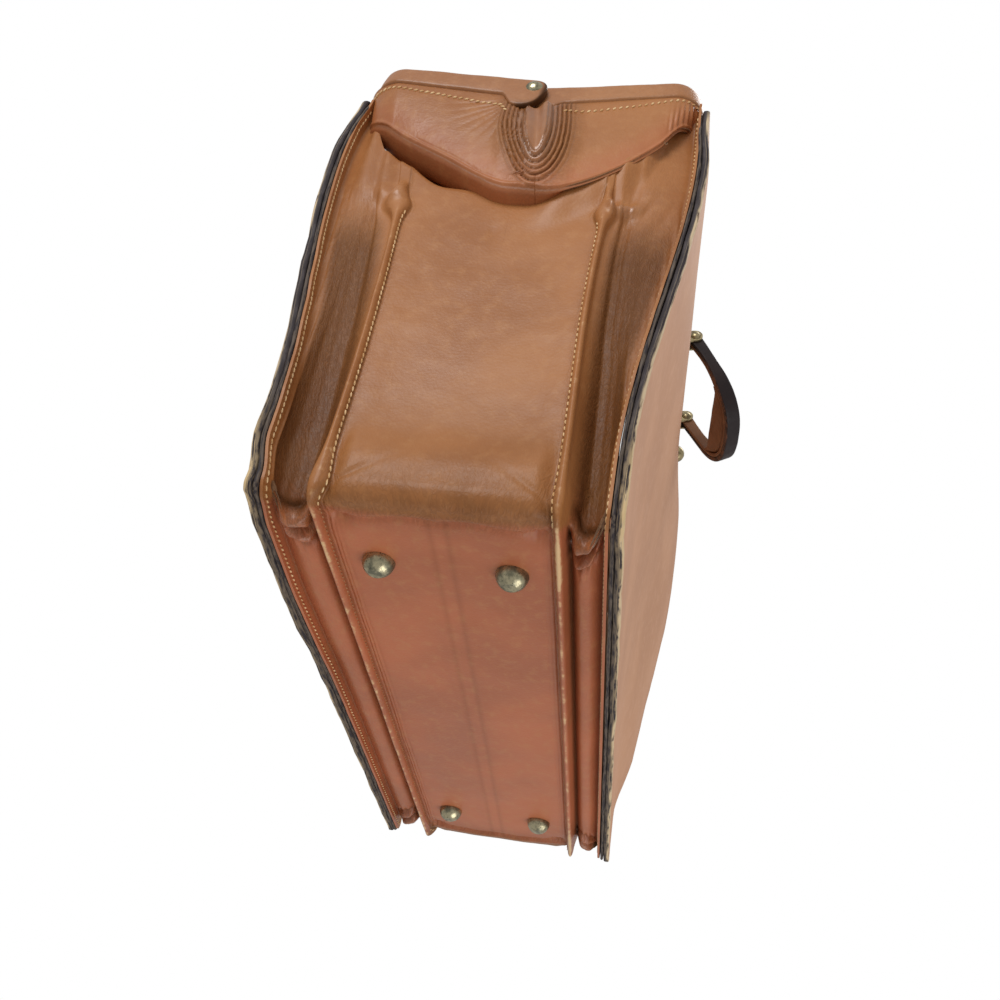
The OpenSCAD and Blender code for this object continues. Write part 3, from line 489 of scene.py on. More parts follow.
def run_length(p, axis):
    # Distance along the sheet from its first row or column.
    total = np.cumsum(np.linalg.norm(np.diff(p, axis=axis), axis=2), axis)
    return np.concatenate([np.zeros_like(total[:, :1] if axis else total[:1]), total], axis)


tan = leather("tan gusset leather", (0.42, 0.165, 0.05), (0.33, 0.12, 0.034), (0.5, 0.23, 0.085),
              other=(0.5, 0.15, 0.062), rough_low=0.34, rough_high=0.5)
flesh = leather("flesh side", (0.32, 0.17, 0.085), (0.25, 0.125, 0.06), (0.4, 0.24, 0.13),
                rough_low=0.8, rough_high=0.95, coat=0.0)


def lower_half(side, name):
    near, h_near = lower_grid(columns, False, side)
    far, h_far = lower_grid(columns, True, side)
    far = far * np.array([-1, 1, 1])
    p = np.concatenate([near, far[:, -2::-1]], 1)
    h = np.concatenate([h_near, h_far[:, -2::-1]], 1)
    y = p[..., 1].copy()
    p[..., 1] *= side
    n, m = p.shape[:2]
    uv = np.stack([side * run_length(p, 0) * 0.001 + 0.5, run_length(p, 1) * 0.001], -1)
    q = columns[:, None] + 0 * h
    wall = ease((h + 3) / 5)
    valley = ease((q - 9) / 1.2) * (1 - ease((q - 13) / 0.8))
    top_fade = 1 - ease((p[..., 2] - 165) / 45)
    curl = valley * hump(h, 0, 14)
    centre = 1 - ease((q - 6) / 2)
    along, off = past_ridge(y - lean(p[..., 2], side), p[..., 2], side)
    tip = hump(off, 0, 3.6) * ease(along / 4) * (1 - ease((along - 14) / 8))
    middle = centre * (0.24 + 0.12 * rough(p, 15, 8))
    marks = {
        "under": 1 - wall + 0.6 * valley * (1 - ease((h - 4) / 24)) * wall,
        "wrinkle": valley * (0.55 * wall * top_fade + 0.2) + 0.4 * hump(q, 4.6, 0.7)
        + 0.45 * hump(h, -1, 9) + 0.35 * curl + 0.35 * centre * hump(h, 14, 16),
        "shine": (1.0 if side < 0 else 0.4) * tip * wall
        + (0.8 if side > 0 else 0.3) * hump(q, 5.3, 0.9) * hump(h, 26, 13)
        + 0.9 * curl * (hump(h, 2, 3.5) + hump(h, -8, 3.5)),
        # Painted shade: the pleat valleys, the grooves between the tubes, the lower middle of each end,
        # the grooves beside the bottom's creases, ridges and flanges, and the foot of each ridge are
        # darkened.
        "painted_shade_and_raw_edge": 0.6 * valley * wall * top_fade * (1 - ease((12 - h) / 10))
        + 0.4 * valley * (hump(h, -3.4, 1.8) + hump(h, -13, 2.5) + hump(h, 9, 3))
        + middle * (hump(h, 5, 14) + 0.6 * hump(h, 38, 24))
        + 0.16 * (1 - wall) * (hump(y, 3.6, 0.9) + hump(y, 7.4, 0.9))
        + (1 - wall) * (0.75 * hump(q, 10, 0.55) + 0.5 * hump(q, 14.2, 0.5))
        + 0.25 * hump(q, 14, 0.5) * wall + 0.35 * hump(q, 5.2, 0.3),
        # Wear pales the ridges and the bottom's centre creases. The pleat lips and a patch beside each
        # ridge low on the end get a painted highlight. The middle of the bend is paler too.
        "wear_and_sheen": 0.34 * hump(q, 7, 0.9) * (0.75 + 0.4 * (1 - wall))
        + (0.45 if side < 0 else 0.15) * hump(q, 7, 1.2) * hump(h, -22, 22)
        + 0.3 * (1 - wall) * hump(y, 5.5, 0.8)
        + 0.2 * curl * (hump(h, 2, 2.5) + hump(h, -8, 2.5))
        + (0.3 if side > 0 else 0.1) * hump(q, 5.6, 0.9) * hump(h, 28, 14)
        + 0.12 * hump(h, -1.5, 2.5) * centre,
    }
    o = object_from(name, p, grid_faces(n, m, flip=side < 0), tan, uv, marks)
    thicken(o, leather_t, flesh)
    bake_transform(o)
    return o


rear_lower = lower_half(1, "rear_lower_leather")
front_lower = lower_half(-1, "front_lower_leather")
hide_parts("bottom_leather", "near_gusset", "far_gusset")


# Stitches: waxed cream linen thread, sewn by hand through the ridges, the flanges, the swags
# and the linings. Under the bottom it is worn and dirty. Each stitch is a slanted bead, laid
# along its sewn line by one Geometry Nodes tree.
def stitch_tree():
    g = bpy.data.node_groups.new("sewn line", "GeometryNodeTree")
    g.interface.new_socket("Geometry", in_out="INPUT", socket_type="NodeSocketGeometry")
    for key, kind in (("Pitch", "Float"), ("Length", "Float"), ("Thread", "Float"),
                      ("Slant", "Float"), ("Finish", "Material")):
        g.interface.new_socket(key, in_out="INPUT", socket_type="NodeSocket" + kind)
    g.interface.new_socket("Geometry", in_out="OUTPUT", socket_type="NodeSocketGeometry")
    given = node(g, "NodeGroupInput").outputs
    line = node(g, "GeometryNodeMeshToCurve", i0=given["Geometry"])
    even = node(g, "GeometryNodeResampleCurve", mode="LENGTH", i0=line, Length=given["Pitch"])
    outwards = node(g, "GeometryNodeInputNamedAttribute", data_type="FLOAT_VECTOR", Name="outward")
    first = node(g, "FunctionNodeAlignRotationToVector", axis="X",
                 Vector=node(g, "GeometryNodeInputTangent"))
    second = node(g, "FunctionNodeAlignRotationToVector", axis="Z", pivot_axis="X", Rotation=first,
                  Vector=outwards.outputs["Attribute"])
    slanted = node(g, "FunctionNodeRotateRotation", rotation_space="LOCAL", i0=second,
                   i1=node(g, "ShaderNodeCombineXYZ", Z=given["Slant"]))
    bead = node(g, "GeometryNodeMeshUVSphere", Segments=6, Rings=5, Radius=0.5)
    size = node(g, "ShaderNodeCombineXYZ", X=given["Length"], Y=given["Thread"], Z=given["Thread"])
    shaped = node(g, "GeometryNodeTransform", Geometry=bead, Scale=size)
    put = node(g, "GeometryNodeInstanceOnPoints", Points=even, Instance=shaped, Rotation=slanted)
    smooth = node(g, "GeometryNodeSetShadeSmooth", i0=node(g, "GeometryNodeRealizeInstances", i0=put))
    done = node(g, "GeometryNodeSetMaterial", Geometry=smooth, Material=given["Finish"])
    node(g, "NodeGroupOutput", i0=done)
    return g


sewn = stitch_tree()


def start_material(name):
    # A new material's tree, its Principled shader and the object coordinates.
    mat = bpy.data.materials.new(name)
    mat.use_nodes = True
    t = mat.node_tree
    return mat, t, t.nodes["Principled BSDF"], node(t, "ShaderNodeTexCoord").outputs["Object"]


def thread_finish(name, pale, deep):
    mat, t, shader, place = start_material(name)
    dirt = node(t, "ShaderNodeTexNoise", Vector=place, Scale=140.0, Detail=3.0)
    twist = node(t, "ShaderNodeTexWave", Vector=place, Scale=900.0, Distortion=1.0,
                 bands_direction="DIAGONAL")
    fill(t, shader, Base_Color=tint(t, spread(t, dirt, 0.35, 0.65), deep, pale), Roughness=0.75,
         Normal=bumps(t, twist.outputs["Fac"], 0.4, 0.0002))
    return mat


cream_thread = thread_finish("cream thread", (0.86, 0.6, 0.32), (0.62, 0.36, 0.15))
dull_thread = thread_finish("worn thread", (0.5, 0.26, 0.12), (0.36, 0.15, 0.06))


def sew(name, lines, finish, pitch, length, thread, slant):
    # Each line is points and outward directions. Sizes are in millimetres, slant in degrees.
    points, edges, ways = [], [], []
    for p, w in lines:
        k = len(points)
        points += [tuple(v) for v in np.asarray(p) * 0.001]
        ways += [tuple(v) for v in w]
        edges += [(k + i, k + i + 1) for i in range(len(p) - 1)]
    mesh = bpy.data.meshes.new(name)
    mesh.from_pydata(points, edges, [])
    out = mesh.attributes.new("outward", "FLOAT_VECTOR", "POINT")
    out.data.foreach_set("vector", np.array(ways, np.float32).ravel())
    o = bpy.data.objects.new(name, mesh)
    bpy.context.scene.collection.objects.link(o)
    m = o.modifiers.new("stitches", "NODES")
    m.node_group = sewn
    given = {"Pitch": pitch * 0.001, "Length": length * 0.001, "Thread": thread * 0.001,
             "Slant": math.radians(slant), "Finish": finish}
    for item in sewn.interface.items_tree:
        if item.in_out == "INPUT" and item.name in given:
            m[item.identifier] = given[item.name]
    return finish_mesh(o)


def gusset_line(at, far, side, rows, lift):
    # A line on the lower leather at one column, with its outward directions.
    q = np.array([at - 0.04, at, at + 0.04])
    p, _ = lower_grid(q, far, side)
    p = p[:, rows]
    a = p[2] - p[0]
    b = np.gradient(p[1], axis=0)
    w = np.cross(a, b)
    w /= np.linalg.norm(w, axis=1)[:, None] + 1e-9
    flip = np.sign((w * np.array([-1.0, -0.6, -1.0])).sum(1).mean())
    return p[1] + w * flip * lift, w * flip


def mirrored(line, sx, sy):
    return line[0] * np.array([sx, sy, 1]), line[1] * np.array([sx, sy, 1])


halves = ((1, "rear"), (-1, "front"))
# The rows of the lower leather along which it is sewn, and the columns of the two seams.
end_row = len(roll) + wall_rows + bend_rows + floor_rows
down_ridge = np.arange(27, end_row - floor_rows)
along_bottom = np.arange(end_row - floor_rows, end_row)
down_flange = np.arange(12, end_row)
ridge_column, flange_column = 5.5, 15.45
for side, name in halves:
    full, small = [], []
    for far in (False, True):
        sx = -1 if far else 1
        full.append(mirrored(gusset_line(ridge_column, far, side, down_ridge, 0.15), sx, side))
        small.append(mirrored(gusset_line(ridge_column, far, side, along_bottom, 0.05), sx, side))
        full.append(mirrored(gusset_line(flange_column, far, side, down_flange, 0.15), sx, side))
    for o in (sew(name + "_gusset_stitches", full, cream_thread, 3.5, 2.8, 0.95, 14),
              sew(name + "_bottom_stitches", small, dull_thread, 3.0, 2.2, 0.7, 14)):
        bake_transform(o)


# Side panels: thick stiff leather. The cut edge is burnished nearly black, and its outer
# corner is rubbed down to cream. The top corners follow the frame's rounded corners.
panel_t = 4.0
panel_top = 296.0
panel_low = 3.0
top_r = 8.0
low_r = 5.0


def corner_turn(x, z):
    # How far the panel leans inwards near its top corners.
    return 1.5 * ease((np.abs(x) - 172) / 28) * ease((z - 236) / 46)


def half_width(z):
    top = np.clip(z - (panel_top - top_r), 0, top_r)
    low = np.clip(panel_low + low_r - z, 0, low_r)
    return half_l - (top_r - np.sqrt(top_r ** 2 - top ** 2)) - (low_r - np.sqrt(low_r ** 2 - low ** 2))


def outward(o):
    # Turns the faces of a closed piece outwards.
    bm = bmesh.new()
    bm.from_mesh(o.data)
    bmesh.ops.recalc_face_normals(bm, faces=bm.faces)
    bm.to_mesh(o.data)
    bm.free()


def panel_edge_finish():
    mat = leather("panel leather", (0.6, 0.315, 0.18), (0.53, 0.265, 0.145), (0.68, 0.4, 0.26),
                  rough_low=0.62, rough_high=0.75, bump=0.3, coat=0.0)
    t = mat.node_tree
    shader = next(n for n in t.nodes if n.type == "BSDF_PRINCIPLED")
    under = shader.inputs["Base Color"].links[0].from_socket
    # "profile" runs across the edge: outer face up to 0.375, cut edge to 0.625, inner face
    # beyond. "ring" runs along it, so that the streaks follow the edge.
    profile, ring, rub = (attribute(t, key) for key in ("profile", "ring", "rub"))
    at = node(t, "ShaderNodeCombineXYZ", i0=calc(t, "MULTIPLY", ring, 70.0),
              i1=calc(t, "MULTIPLY", profile, 17.0))
    streak = node(t, "ShaderNodeTexNoise", Vector=at, Scale=1.0, Detail=4.0, Roughness=0.6)
    sway = node(t, "ShaderNodeTexNoise", Vector=at, Scale=0.45, Detail=2.0)
    moved = calc(t, "MULTIPLY_ADD", sway, 0.16, profile)

    def bands(*stops):
        # A grey for each place across the edge.
        ramp = node(t, "ShaderNodeValToRGB", i0=moved)
        ramp.color_ramp.elements[0].color = (0, 0, 0, 1)
        ramp.color_ramp.elements[1].color = (stops[-1][1],) * 3 + (1,)
        for place, value in stops[:-1]:
            ramp.color_ramp.elements.new(place).color = (value, value, value, 1)
        return ramp

    black = tint(t, spread(t, streak, 0.4, 0.7), (0.026, 0.018, 0.02), (0.075, 0.06, 0.062))
    colour = tint(t, bands((0.36, 0.0), (0.42, 1.0), (0.93, 1.0), (1.0, 0.8)), under, black)
    cream = bands((0.33, 0.0), (0.36, 0.95), (0.425, 0.95), (0.45, 0.0), (0.5, 0.0), (0.525, 0.6),
                  (0.555, 0.0), (0.62, 0.0), (0.64, 0.3), (0.66, 0.0), (1.0, 0.0))
    worn = calc(t, "MULTIPLY", spread(t, streak, 0.36, 0.5), cream)
    colour = tint(t, worn, colour, (0.68, 0.52, 0.33))
    rubbed = calc(t, "MULTIPLY", spread(t, streak, 0.42, 0.55), rub)
    fill(t, shader, Base_Color=tint(t, rubbed, colour, (0.66, 0.47, 0.24)))
    return mat


panel_leather = panel_edge_finish()
edge_steps = np.array([0, 0.25, 0.6, 1.1, 1.8, 2.6, 3.6, 5, 7, 10])


edge_round = 1.5


def side_panel(side, name):
    zs = np.concatenate([panel_low + edge_steps, np.linspace(panel_low + 17, panel_top - 17, 40),
                         panel_top - edge_steps[::-1]])
    w = half_width(zs)
    inner = np.linspace(-1, 1, 50)[1:-1]
    xs = np.stack([np.concatenate([-v + edge_steps, (v - 16) * inner, v - edge_steps[::-1]]) for v in w])
    zz = zs[:, None] + 0 * xs
    border = np.minimum(w[:, None] - np.abs(xs), np.minimum(zz - panel_low, panel_top - zz))
    tuck = edge_round - np.sqrt(np.maximum(0, edge_round ** 2 - np.maximum(0, edge_round - border) ** 2))
    at = np.stack([xs, 0 * xs + 500 * side, zz], -1)
    wave = rough(at, 26, 3)
    nick = rough(at, 7, 4, 3)
    near_edge = 1 - ease(border / 9)
    to_end = w[:, None] - np.abs(xs)
    xs2 = xs + np.sign(xs) * near_edge * (0.55 * wave + 0.2 * nick) * (1 - ease(to_end / 9))
    z2 = zz - near_edge * 0.4 * wave * (1 - ease((zz - panel_low) / 9))
    shift = -corner_turn(xs, zz) + near_edge * 0.7 * wave + 0.25 * rough(at, 70, 6)
    base = panel_in(zz) + bow(xs, zz, side) + shift
    outer = base + panel_t - tuck - 0.25 * near_edge * (1 + nick)
    inside = base + tuck
    n, m = xs.shape
    # The outer and the inner face are the same grid, joined by a strip round the edge.
    p = np.stack([np.stack([xs2, side * y, z2], -1) for y in (outer, inside)])
    k = n * m
    faces = grid_faces(n, m, flip=side < 0)
    faces += [tuple(v + k for v in f) for f in grid_faces(n, m, flip=side > 0)]
    rim = [j for j in range(m)] + [i * m + m - 1 for i in range(1, n)] \
        + [(n - 1) * m + j for j in range(m - 2, -1, -1)] + [i * m for i in range(n - 2, 0, -1)]
    for a, b in zip(rim, rim[1:] + rim[:1]):
        f = (a, b, b + k, a + k)
        faces.append(f if side > 0 else f[::-1])
    rub = ease((-xs - 150) / 50) * hump(zz, 20, 28)
    rub = rub + 0.5 * ease((40 - zz) / 40) * ease((2.5 - border) / 2)
    rub = np.clip(0.75 * rub * ease((2.6 - border) / 2), 0, 1)
    at_end = to_end < np.minimum(zz - panel_low, panel_top - zz)
    ring = np.where(at_end, 0.3 + zz * 0.001, 0.5 + xs * 0.001)
    marks = {"profile": np.stack([6 - border, 10 + border]) / 16, "ring": np.stack([ring, ring]),
             "rub": np.stack([rub, 0.4 * rub])}
    uv = np.stack([xs * 0.001, zz * 0.001], -1)
    o = object_from(name, p, faces, panel_leather, np.stack([uv, uv]), marks)
    outward(o)
    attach(o, name)
    return o


rear_skin = side_panel(1, "rear_side")
rear_skin.name = "rear_panel_leather"
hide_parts("rear_panel")
front_skin = side_panel(-1, "front_side")
front_skin.name = "front_panel_leather"
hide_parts("front_panel")


# Frame bands: each half of the mouth frame is a steel strip bent to a U and wrapped in
# leather. The rear half's legs lie outside and end in a tongue with a raw, dark edge.
pivot = np.array([0, 0, 293.0])
open_a = math.radians(7.5)
frame_r = 95.64
bar_t, leg_t, corner_r = 6.0, 4.6, 18.0
arc_r = frame_r - corner_r
leg_out = {1: 210.0, -1: 205.0}
band_top = 6.5
leg_top = 7.5
bar_low = -8.56


def frame_place(x, r, up, side):
    # From a half frame's own plane to the world: r out from the pivot, up across the leg.
    c, s = math.cos(open_a), math.sin(open_a)
    return np.stack(np.broadcast_arrays(x, side * (r * c - up * s), pivot[2] + r * s + up * c), -1)


def rounded_section(a, b, r, steps=5):
    # A rounded rectangle for each station; a and b are half sizes, r the corner radius.
    t = np.linspace(0, np.pi / 2, steps)
    u, v = [], []
    for k, (sa, sb) in enumerate(((1, 1), (-1, 1), (-1, -1), (1, -1))):
        c, s = (np.cos(t), np.sin(t)) if k % 2 == 0 else (np.sin(t), np.cos(t))
        u.append(sa * (a[:, None] - r[:, None] * (1 - c)))
        v.append(sb * (b[:, None] - r[:, None] * (1 - s)))
        # Points along the long sides keep the leather's faces even.
        if k in (0, 2):
            e = np.linspace(1, -1, 4)[1:-1]
            u.append(e * sa * (a - r)[:, None])
            v.append(sb * b[:, None] + 0 * e)
        else:
            e = np.linspace(1, -1, 8)[1:-1]
            u.append(sa * a[:, None] + 0 * e)
            v.append(e * sb * (b - r)[:, None])
    return np.concatenate(u, 1), np.concatenate(v, 1)


def tube_faces(n, m):
    f = [(i * m + j, i * m + (j + 1) % m, (i + 1) * m + (j + 1) % m, (i + 1) * m + j)
         for i in range(n - 1) for j in range(m)]
    return f + [tuple(range(m))[::-1], tuple((n - 1) * m + j for j in range(m))]


def band_low(r, side):
    tongue = 9.2 if side > 0 else 3.5
    neck = 9.2 + tongue * ease((17 - r) / 9) - 1.2 * ease((r - 20) / 57)
    end = np.sqrt(np.clip(1 - np.clip((4 - r) / 11.5, 0, 1) ** 2, 0, 1))
    return -neck * end


def band_high(r):
    return np.where(r < 0, np.sqrt(np.clip(leg_top ** 2 - np.minimum(r, 0) ** 2, 0, None)),
                    leg_top - np.clip(r / arc_r, 0, 1))


def band_path(side):
    # Stations from one tongue round the bar to the other: place, outward way, half thickness,
    # share of the way from leg to bar, and the cover's lower and upper edge.
    out = leg_out[side]
    tip = leg_top * (1 - np.cos(np.linspace(0, np.pi / 2, 9)))
    r_leg = np.concatenate([-leg_top + tip[:-1], np.linspace(0, arc_r, 34)[:-1]])
    w = np.linspace(0, np.pi / 2, 15)
    x_bar = np.linspace(-out + corner_r, 0, 30)[1:]
    turned = w / w[-1]
    leg, bar = 0 * r_leg, 0 * x_bar
    parts = [np.concatenate(v) for v in (
        (-out + leg_t / 2 + leg, -out + corner_r - (corner_r - leg_t / 2) * np.cos(w), x_bar),
        (r_leg, arc_r + (corner_r - bar_t / 2) * np.sin(w), frame_r - bar_t / 2 + bar),
        (-1 + leg, -np.cos(w), bar),
        (leg, np.sin(w), 1 + bar),
        (leg_t / 2 + leg, leg_t / 2 + (bar_t - leg_t) / 2 * turned, bar_t / 2 + bar),
        (leg, turned, 1 + bar),
        (band_low(r_leg, side), -8.0 + (bar_low + 8.0) * turned, bar_low + bar),
        (band_high(r_leg), band_top + 0 * w, band_top + bar))]
    back = [p[-2::-1] for p in parts]
    back[0], back[2] = -back[0], -back[2]
    return [np.concatenate([p, b]) for p, b in zip(parts, back)]


def frame_band(side, name):
    x, r, nx, nr, half, share, low, high = band_path(side)
    low[0], high[0], low[-1], high[-1] = -0.6, 0.6, -0.6, 0.6
    b = (high - low) / 2
    small = np.minimum(1.0, b / 3)
    u, v = rounded_section(half * (0.45 + 0.55 * small), b, np.minimum(1.7, 0.8 * np.minimum(half, b)))
    # The leather is full over the steel on the outside; inside, the legs pass close by.
    puff = 0.35 * (1 - (v / b[:, None]) ** 2) * (u > 0.8 * half[:, None])
    u = u + puff * small[:, None]
    v = v + ((high + low) / 2)[:, None]
    p = frame_place(x[:, None] + nx[:, None] * u, r[:, None] + nr[:, None] * u, v, side)
    dents = rough(p, 22, 11, 3)
    p = p + dents[..., None] * np.array([0, 0.15, 0.25])
    p = p + 0.2 * (dents * (u > 0.8 * half[:, None]))[..., None] * np.array([-1, 0, 0])
    far_out = np.abs(x) > arc_r
    rr = np.where(far_out, r, 99)[:, None] + 0 * v
    rim = np.clip(1 - np.minimum(v - low[:, None], high[:, None] - v) / 2.4, 0, 1)
    tip = ease((9 - rr) / 6) * (np.abs(x) > 150)[:, None]
    raw = tip * np.clip(rim * ((v < 2) | (rr < 0)) + ease((-3.5 - rr) / 3), 0, 1)
    # The tongue's raw edge is the leather's own dark colour. The line along the lower edge of the legs is
    # painted shade.
    marks = {"painted_shade_and_raw_edge": raw * (1 if side > 0 else 0.4)
             + 0.25 * hump(v - low[:, None], 0.8, 0.9) * far_out[:, None],
             "wear_and_sheen": 0.28 * hump(high[:, None] - v, 0.3, 0.8) + 0.1 * (1 - share)[:, None],
             "wrinkle": 0.25 + 0 * v}
    uv = np.stack([v * 0.001, np.arange(len(x))[:, None] * 0.003 + 0 * v], -1)
    o = object_from(name, p, tube_faces(*v.shape), band_leather, uv, marks)
    outward(o)
    return o


band_leather = leather("frame band leather", (0.44, 0.185, 0.065), (0.35, 0.135, 0.045),
                       (0.52, 0.25, 0.11), rough_low=0.36, rough_high=0.5, bump=0.35, coat=0.2)
rear_band = frame_band(1, "rear_frame_band")
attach(rear_band, "rear_frame")
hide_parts("rear_frame_cover")
front_band = frame_band(-1, "front_frame_band")
# The lock's case is let into the front bar from above, with 0.1 mm to spare at its ends and below.
case_ends, case_low, past_bar = (97.9, 148.1), -3.7, (87.0, 100.0, 12.0)
corners = [(x, r, up) for x in case_ends for r in past_bar[:2] for up in (case_low, past_bar[2])]
box_faces = [(0, 1, 3, 2), (4, 6, 7, 5), (0, 4, 5, 1), (2, 3, 7, 6), (0, 2, 6, 4), (1, 5, 7, 3)]
cutter = object_from("notch", np.array([frame_place(*c, -1) for c in corners]), box_faces)
outward(cutter)
cut = front_band.modifiers.new("notch", "BOOLEAN")
cut.operation = "DIFFERENCE"
cut.solver = "EXACT"
cut.object = cutter
finish_mesh(front_band)
bpy.data.objects.remove(cutter)
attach(front_band, "front_frame")
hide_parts("front_frame_cover")


# Swags: the gusset's upper leather is sewn under the legs and hangs from them in one deep
# fold. Under the pivot it bulges in a narrow tongue with puckers nested round it. It is
# split there, so that each half goes with its own leg.
swag_straight, swag_arc = 77.6, 24.7
swag_top_r = corner_r + 0.2
swag_t = 1.4
pucker = 2.5
bulge_w = 9.0
cut_at = 3.0
overlap = 1.6
# Height of the bulge's lower end, and the depth of its outline there and more for each pucker.
tongue_z, tongue_deep, deeper = 268.0, 36.0, 4.1


def bulge_y(z):
    # The bulge hangs a little towards the front.
    return -3 - 0.12 * np.clip(284 - z, 0, 80)


def nested(y, z):
    # Numbers the puckers outwards from the bulge: below zero inside it.
    y = y - bulge_y(z)
    draw = np.where(y > 0, 0.84 + 0.16 * ease((284 - z) / 30), 1.0)
    wide = np.abs(y) / draw
    deep = np.maximum(tongue_z - z, 0)
    low, high = np.full(y.shape, -2.1), np.full(y.shape, 14.0)
    for _ in range(14):
        k = (low + high) / 2
        inside = (wide / (bulge_w + pucker * k)) ** 2 + (deep / (tongue_deep + deeper * k)) ** 2 < 1
        high = np.where(inside, k, high)
        low = np.where(inside, low, k)
    return k


def swag_grid(s, rows_down, far):
    # s runs from -1 at the front panel to 1 at the rear panel. With the points come their
    # heights above the fold, or past it minus the length along the leather.
    side = np.where(s >= 0, 1, -1)
    u = np.abs(s)
    run = u * (swag_straight + swag_arc)
    flat_r = np.minimum(run, swag_straight)
    w = np.clip(run - swag_straight, 0, None) / swag_arc * math.radians(75)
    near_mid = ease(flat_r / 10)
    x_leg = -np.where(side > 0, 208.6, 203.9)
    x_top = -204.2 + (x_leg + 204.2) * near_mid + swag_top_r * (1 - np.cos(w))
    r_top = flat_r + swag_top_r * np.sin(w)
    past_tip = np.maximum(flat_r, 9)
    up_top = np.where(side > 0, band_low(past_tip, 1), band_low(past_tip, -1)) + 1.6
    middle = 1 - ease(flat_r / 9)
    up_top = up_top + (-15.5 - up_top) * middle * np.where(side > 0, 1, 0.6 + 0.4 * middle)
    top = np.stack([frame_place(x_top, r_top, up_top, 1), frame_place(x_top, r_top, up_top, -1)])
    top = np.where((side > 0)[:, None], top[0], top[1])
    top[:, 1] += side * up_top * math.sin(open_a) * middle
    y_low = np.minimum(run, 76) + 12.5 * np.sin(w)
    x_low = -200.9 + 12.5 * (1 - np.cos(w))
    z_low = np.where(side > 0, fold_drop(y_low, 1), fold_drop(y_low, -1))
    low = np.stack([x_low, side * y_low, z_low], -1)
    t = rows_down[None, :, None]
    p = top[:, None] + (low - top)[:, None] * np.concatenate([t ** 0.8, t, t], -1)
    h = p[..., 2] - z_low[:, None]
    belly = np.sin(np.pi * np.clip(t[..., 0], 0, 1)) ** 0.8 * 2.6 * np.cos(w)[:, None]
    p[..., 0] -= belly
    # The leather turns under at the fold and runs in behind it.
    under = np.array([(0.9, -1.1), (2.4, -1.7), (5, -2.1), (8.5, -2.5), (12, -2.5), (16, -1.4),
                      (20, 1.5), (23, 8)])
    q = np.repeat(p[:, -1:], len(under), 1)
    # The front half's gusset meets it, so there it turns straight up behind.
    close = np.where(side < 0, ease((y_low - 8) / 24), 0)[:, None]
    q[..., 0] += under[:, 0] * (1 - 0.35 * ease(w / 1.0))[:, None] * (1 - 0.88 * close)
    q[..., 2] += under[:, 1] * (1 - 0.7 * close) + close * np.array([0, 0, 1.2, 3, 5, 7, 9, 9])
    # The outer end spreads with the panel's bow.
    end_x = half_l if far else -half_l
    reach = ease((u - 0.8) / 0.2)[:, None]
    for part in (p, q):
        out = np.where((side > 0)[:, None], bow(end_x, part[..., 2], 1), bow(end_x, part[..., 2], -1))
        part[..., 1] += side[:, None] * out * reach
    past_fold = -np.cumsum(np.hypot(*np.diff(np.vstack([[0, 0], under]), axis=0).T))
    h = np.concatenate([h, np.broadcast_to(past_fold, q.shape[:2])], 1)
    return np.concatenate([p, q], 1), h


def swag_relief(p, h, far):
    seeded = p + np.array([700.0 if far else 0.0, 0, 0])
    wave = rough(seeded, 30, 21)
    fine = rough(seeded, 8, 22, 3)
    y, z = p[..., 1], p[..., 2]
    hang = ease((h + 1) / 4)
    k = nested(y + 0.25 * fine, z + 0.5 * fine)
    loose = np.where(y > bulge_y(z), 1, 1 - hump(k, cut_at, 0.9))
    ring = 1 - (0.5 + 0.5 * np.cos(2 * np.pi * (k + 0.22 * wave * loose))) ** 1.8
    amp = ease((k + 1.6) / 1.0) * (1 - ease((k - np.where(y > bulge_y(z), 3.8, 3.2)) / 2.2))
    under_tongue = ease((287 - z) / 6)
    d = 0.35 * wave + 0.08 * fine
    d = d + (1.5 * ring - 0.9) * amp * hang * under_tongue * (0.6 + 0.4 * ease((272 - z) / 26))
    # The bulge itself, with two long highlights down it.
    inside = 1 - ease((k + 1.4) / 2.4)
    across = y - bulge_y(z)
    d = d + hang * inside * (3.2 - 1.5 * np.cos(across * 2 * np.pi / 12)) * (0.45 + 0.55 * under_tongue)
    d = d + 1.6 * hang * (1 - ease((k - 2) / 6))
    # Creases fan out from the foot of the tongue on the rear half.
    fan = np.arctan2(np.maximum(y - 7, 0.1), np.maximum(281 - z, 0.1))
    reach = np.hypot(y - 7, 281 - z)
    near = (y > 7) * (z < 283) * ease((reach - 2) / 6) * (1 - ease((reach - 20) / 26)) \
        * ease((k - 4.2) / 1.5)
    d = d - near * 0.4 * hump(np.mod(fan * 5.2 + 0.35 * wave, 1.0), 0.5, 0.17)
    # The crease above the fold, and a second one beside it.
    beat = 0.7 + 0.4 * fine
    d = d - 1.2 * beat * hump(h, 0.4 + 0.4 * wave, 0.9) + 0.6 * hump(h, 2.6, 1.2)
    d = d - 0.6 * beat * hump(h, 4.6 + wave, 0.7) * ease((y + 6) / 10) * (1 - ease((y - 55) / 12))
    # Upright puckers where the front half turns in at the panel.
    turned = ease((-y - 74) / 5) * hump(h, 12, 10)
    d = d + 0.55 * turned * np.sin(y * 2.4 + wave)
    # Held flat under the band.
    return d * ease(hang), k


